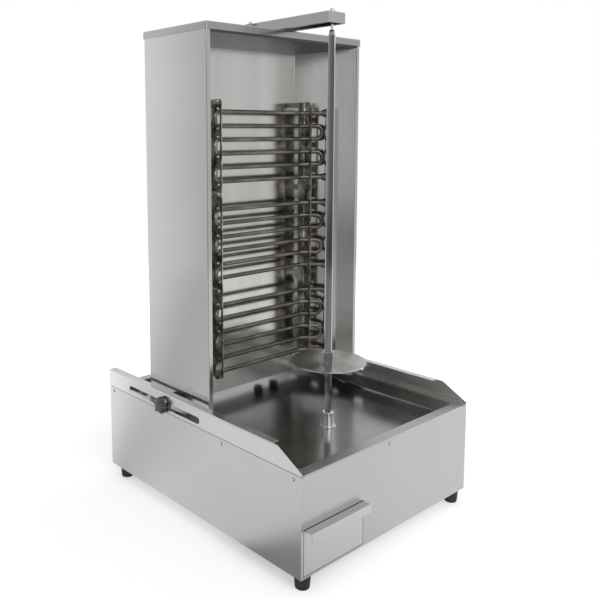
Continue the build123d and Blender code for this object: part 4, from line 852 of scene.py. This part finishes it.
class GRILL_OT_ceiling(bpy.types.Operator):
    """Folds the ceiling sheet of the heat space, which slopes down towards the back"""
    bl_idname = "grill.ceiling"
    bl_label = "Ceiling sheet"

    def execute(self, context):
        low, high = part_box("ceiling_panel")
        front = low.y
        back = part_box("reflector")[1].y - WALL_SHEET
        drop = 0.0107
        bend = 0.0015
        wall_gap = 0.0004
        fold = (front + bend, low.z + bend)
        profile = np.concatenate([
            [(front, high.z)], arc(fold, bend, 180, 270, 5),
            [(back, low.z - drop), (back, low.z - drop + WALL_SHEET)],
            arc(fold, bend - WALL_SHEET, 270, 180, 5), [(front + WALL_SHEET, high.z)]])

        def half_width(y):
            return LINER_FRONT - wall_gap - (LINER_FRONT - LINER_BACK) * (y - front) / (back - front)

        # Its finish is a very dark copy of the casing steel: painted shade
        build_piece("ceiling_sheet", sloped_sheet(profile, half_width), "tower", "casing_steel",
                    "ceiling_steel", replaces=["ceiling_panel"])
        return {"FINISHED"}


def obround_bead(centre, half_length, half_width, bead, around=72, section=12):
    """A rounded bead round a slot: an obround path, with a circle of the bead's radius carried
    along it: the point is the path point plus the bead times the circle of outward and down."""
    angle = full_turn(around)
    out = np.stack([np.cos(angle), np.sin(angle), np.zeros(around)], axis=1)
    path = np.array(centre) + out * half_width
    path[:, 0] += np.sign(np.round(np.cos(angle), 6)) * (half_length - half_width)
    turn = full_turn(section)
    circle = np.cos(turn)[:, None] * out[:, None] - np.outer(np.sin(turn), (0, 0, 1))
    return (path[:, None] + bead * circle).reshape(-1, 3), grid_faces(around, section, ring=True)


class GRILL_OT_drain_rim(bpy.types.Operator):
    """Rolls the bright rim of the drain slot in the pan's front corner"""
    bl_idname = "grill.drain_rim"
    bl_label = "Drain rim"

    def execute(self, context):
        low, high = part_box("drain_spout")
        x, y, _ = middle_of("drain_spout")
        wall = 0.001
        bead = 0.0011
        rim = obround_bead((x, y, high.z), (high.x - low.x) / 2 - wall, (high.y - low.y) / 2 - wall, bead)
        build_piece("drain_rim", rim, "base", "boss_chrome", "drain_chrome")
        return {"FINISHED"}


def dial_mark(centre, reach, i):
    """One tick of a printed scale: a bar whose corners are the centre plus the spoke's direction
    times its near or far end, plus or minus half its width square to the spoke. From one tick to
    the next the spoke turns by 30 degrees, and the tick gets longer and wider."""
    angle = radians(90 + 30 * i)
    near = reach + 0.0025
    far = near + 0.0030 + 0.00045 * i
    half_width = 0.0006 + 0.00009 * i
    raised, sunk = 0.00016, 0.0002
    along = np.array([cos(angle), 0.0, sin(angle)])
    across = np.array([-sin(angle), 0.0, cos(angle)]) * half_width
    corners = [along * near - across, along * far - across, along * far + across, along * near + across]
    depth = np.array([[0, raised, 0], [0, -sunk, 0]])
    return closed_tube(centre + np.array(corners)[None] + depth[:, None])


class GRILL_OT_dial_marks(bpy.types.Operator):
    """Raises the printed scale around each heat knob on the rear panel"""
    bl_idname = "grill.dial_marks"
    bl_label = "Dial marks"

    def execute(self, context):
        panel_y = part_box("rear_panel")[1].y
        ticks = 10
        shapes = []
        for word in ("bottom", "middle", "top"):
            node = f"heat_knob_{word}"
            low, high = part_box(node)
            x, _, z = middle_of(node)
            centre = np.array([x, panel_y, z])
            shapes += [dial_mark(centre, (high.x - low.x) / 2, i) for i in range(ticks)]
        build_piece("dial_scales", joined(shapes), "tower", "black_plastic")
        return {"FINISHED"}


def studio_floor(reach, rings=24, around=96):
    """A round level floor: the point at radius times the cosine and the sine of the angle, with
    the radius growing as the square of the first parameter."""
    radius = reach * np.linspace(0.02, 1, rings) ** 2
    angle = full_turn(around)
    x = radius[:, None] * np.cos(angle)
    y = radius[:, None] * np.sin(angle)
    points = np.stack([x, y, np.zeros_like(x)], axis=-1).reshape(-1, 3)
    return points, grid_faces(rings, around) + [list(range(around))]


def room_level(r, way, low):
    """Level of the room in the compass direction of a vector, with the dim floor at the left
    where the low share is 1."""
    turn = r.add("ShaderNodeMath", {"operation": "ARCTAN2"}, [r.axis(way, "Y"), r.axis(way, "X")])
    compass = turn / (2 * pi) + 0.5
    level, dim = [r.ramp(compass, [((angle + 180) / 360, value) for angle, value in table])
                  for table in (ROOM_LEVELS, FLOOR_DIMMING)]
    return level * (1 - dim * low)


def ray_kinds(r):
    """Two switches: 1 for the camera's rays, and 1 for glossy and transmission rays."""
    camera, glossy, through = [r.add("ShaderNodeLightPath", output=name) for name in (
        "Is Camera Ray", "Is Glossy Ray", "Is Transmission Ray")]
    return camera, (glossy + through).clipped()


def floor_finish(tone):
    """White floor that keeps the object's shadow: a matt part, and a glow that only seen rays get.
    The camera's grows with the distance until the floor is as white as the room behind it, and
    what metal mirrors has the level of the room in that direction."""
    material, r = new_finish("studio_floor")
    near_glow, far_glow = 0.40, 0.65
    mirror_dimming = 0.6
    camera, mirrored = ray_kinds(r)
    speck = r.noise(30.0)
    white = r.blend(speck, shade(tone, 0.99), shade(tone, 1.01))
    dimmed = r.blend(mirrored * mirror_dimming, white, rgba(0.0))
    matt = r.add("ShaderNodeBsdfDiffuse", inputs={"Color": dimmed})
    # The ramps run from 0 to 1 over the two metres round the object
    reach = r.add("ShaderNodeVectorMath", {"operation": "LENGTH"}, [r.place()], output="Value") * 0.5
    away = r.rise(reach, 0.25, 0.85)
    beyond = r.rise(reach, 0.30, 0.60)
    room = room_level(r, r.place(), beyond) - FLOOR_LOSS
    level = camera * (away * far_glow + near_glow) + mirrored * room
    glow = r.add("ShaderNodeEmission", inputs={"Color": level, "Strength": 1.0})
    r.output("Material", r.add("ShaderNodeAddShader", inputs=[matt, glow]))
    return material


def studio_world(ambient):
    """A studio room: plain light from all round, white where the camera sees it, and in
    reflections the levels of the room, with an even roof."""
    world = bpy.data.worlds.new("studio_world")
    bpy.context.scene.world = world
    r = Recipe(world)
    camera, mirrored = ray_kinds(r)
    roof_level = 0.70
    way = r.add("ShaderNodeTexCoord", output="Generated")
    up = r.axis(way, "Z")
    roof = r.rise(up, 0.30, 0.80)
    below = r.rise(up * -1.0, 0.08, 0.14)
    room = r.blend(roof, room_level(r, way, below), rgba(roof_level))
    colour = r.blend(mirrored, rgba(ambient), room)
    colour = r.blend(camera, colour, rgba(1.0))
    r.output("World", r.add("ShaderNodeBackground", inputs={"Color": colour, "Strength": 1.0}))


def add_lamp(name, power, width, height, place):
    """A soft area lamp that faces the grill's middle."""
    light = bpy.data.lights.new(name, "AREA")
    light.shape = "RECTANGLE"
    light.size = width
    light.size_y = height
    light.energy = power
    lamp = bpy.data.objects.new(name, light)
    lamp.location = place
    lamp.rotation_euler = (Vector(LAMP_TARGET) - Vector(place)).to_track_quat("-Z", "Y").to_euler()
    bpy.context.scene.collection.objects.link(lamp)


def add_camera(lens):
    """The camera: its look is turned left by the yaw and down by the pitch, and then rolled."""
    yaw, pitch, roll = radians(CAMERA_YAW), radians(CAMERA_PITCH), radians(CAMERA_ROLL)
    look = Vector((-sin(yaw) * cos(pitch), cos(yaw) * cos(pitch), -sin(pitch)))
    level = Vector((cos(yaw), sin(yaw), 0.0))
    above = level.cross(look)
    right = level * cos(roll) + above * sin(roll)
    top = above * cos(roll) - level * sin(roll)
    data = bpy.data.cameras.new("camera")
    data.sensor_width = 36.0
    data.lens = lens
    data.shift_x, data.shift_y = CAMERA_SHIFT
    camera = bpy.data.objects.new("camera", data)
    turn = Matrix((right, top, -look)).transposed()
    camera.matrix_world = Matrix.LocRotScale(Vector(CAMERA_PLACE), turn, None)
    bpy.context.scene.collection.objects.link(camera)
    bpy.context.scene.camera = camera


class GRILL_OT_stage(bpy.types.Operator):
    """Sets up the floor, the soft lamps, the white room and the camera"""
    bl_idname = "grill.stage"
    bl_label = "Stage"

    def execute(self, context):
        studio = context.scene.grill_studio
        floor_radius = 2.6
        points, faces = studio_floor(floor_radius)
        mesh = bpy.data.meshes.new("studio_floor")
        mesh.from_pydata(points.tolist(), [], faces)
        mesh.materials.append(floor_finish(tuple(studio.floor_tone)))
        floor = bpy.data.objects.new("studio_floor", mesh)
        context.scene.collection.objects.link(floor)
        studio_world(studio.ambient)
        for key, (name, width, height, place) in LAMPS.items():
            add_lamp(name, getattr(studio, key), width, height, place)
        add_camera(studio.lens)
        context.scene.view_settings.view_transform = "Standard"
        return {"FINISHED"}


class GRILL_PT_panel(bpy.types.Panel):
    """Lists the steps that dress the grill"""
    bl_label = "Doner kebab grill"
    bl_idname = "GRILL_PT_panel"
    bl_space_type = "VIEW_3D"
    bl_region_type = "UI"
    bl_category = "Grill"

    def draw(self, context):
        for operator in OPERATORS:
            self.layout.operator(operator.bl_idname)
        for name in SETTINGS:
            group = getattr(context.scene, name)
            for key in group.bl_rna.properties.keys():
                if key not in ("rna_type", "name"):
                    self.layout.prop(group, key)


OPERATORS = (
    GRILL_OT_finishes,
    GRILL_OT_dress_sheets,
    GRILL_OT_heating_tubes,
    GRILL_OT_clamp_knobs,
    GRILL_OT_feet,
    GRILL_OT_spit,
    GRILL_OT_ceiling,
    GRILL_OT_drain_rim,
    GRILL_OT_dial_marks,
    GRILL_OT_stage,
)
SETTINGS = {
    "grill_rack": RackSettings,
    "grill_knob": KnobSettings,
    "grill_foot": FootSettings,
    "grill_spit": SpitSettings,
    "grill_studio": StudioSettings,
    "grill_steel": SteelSettings,
}


def register():
    for group in SETTINGS.values():
        bpy.utils.register_class(group)
    for name, group in SETTINGS.items():
        setattr(bpy.types.Scene, name, PointerProperty(type=group))
    for operator in OPERATORS:
        bpy.utils.register_class(operator)
    bpy.utils.register_class(GRILL_PT_panel)


def unregister():
    bpy.utils.unregister_class(GRILL_PT_panel)
    for operator in reversed(OPERATORS):
        bpy.utils.unregister_class(operator)
    for name, group in SETTINGS.items():
        delattr(bpy.types.Scene, name)
        bpy.utils.unregister_class(group)


def main():
    register()
    for operator in OPERATORS:
        group, name = operator.bl_idname.split(".")
        getattr(getattr(bpy.ops, group), name)()


if __name__ == "__main__":
    main()
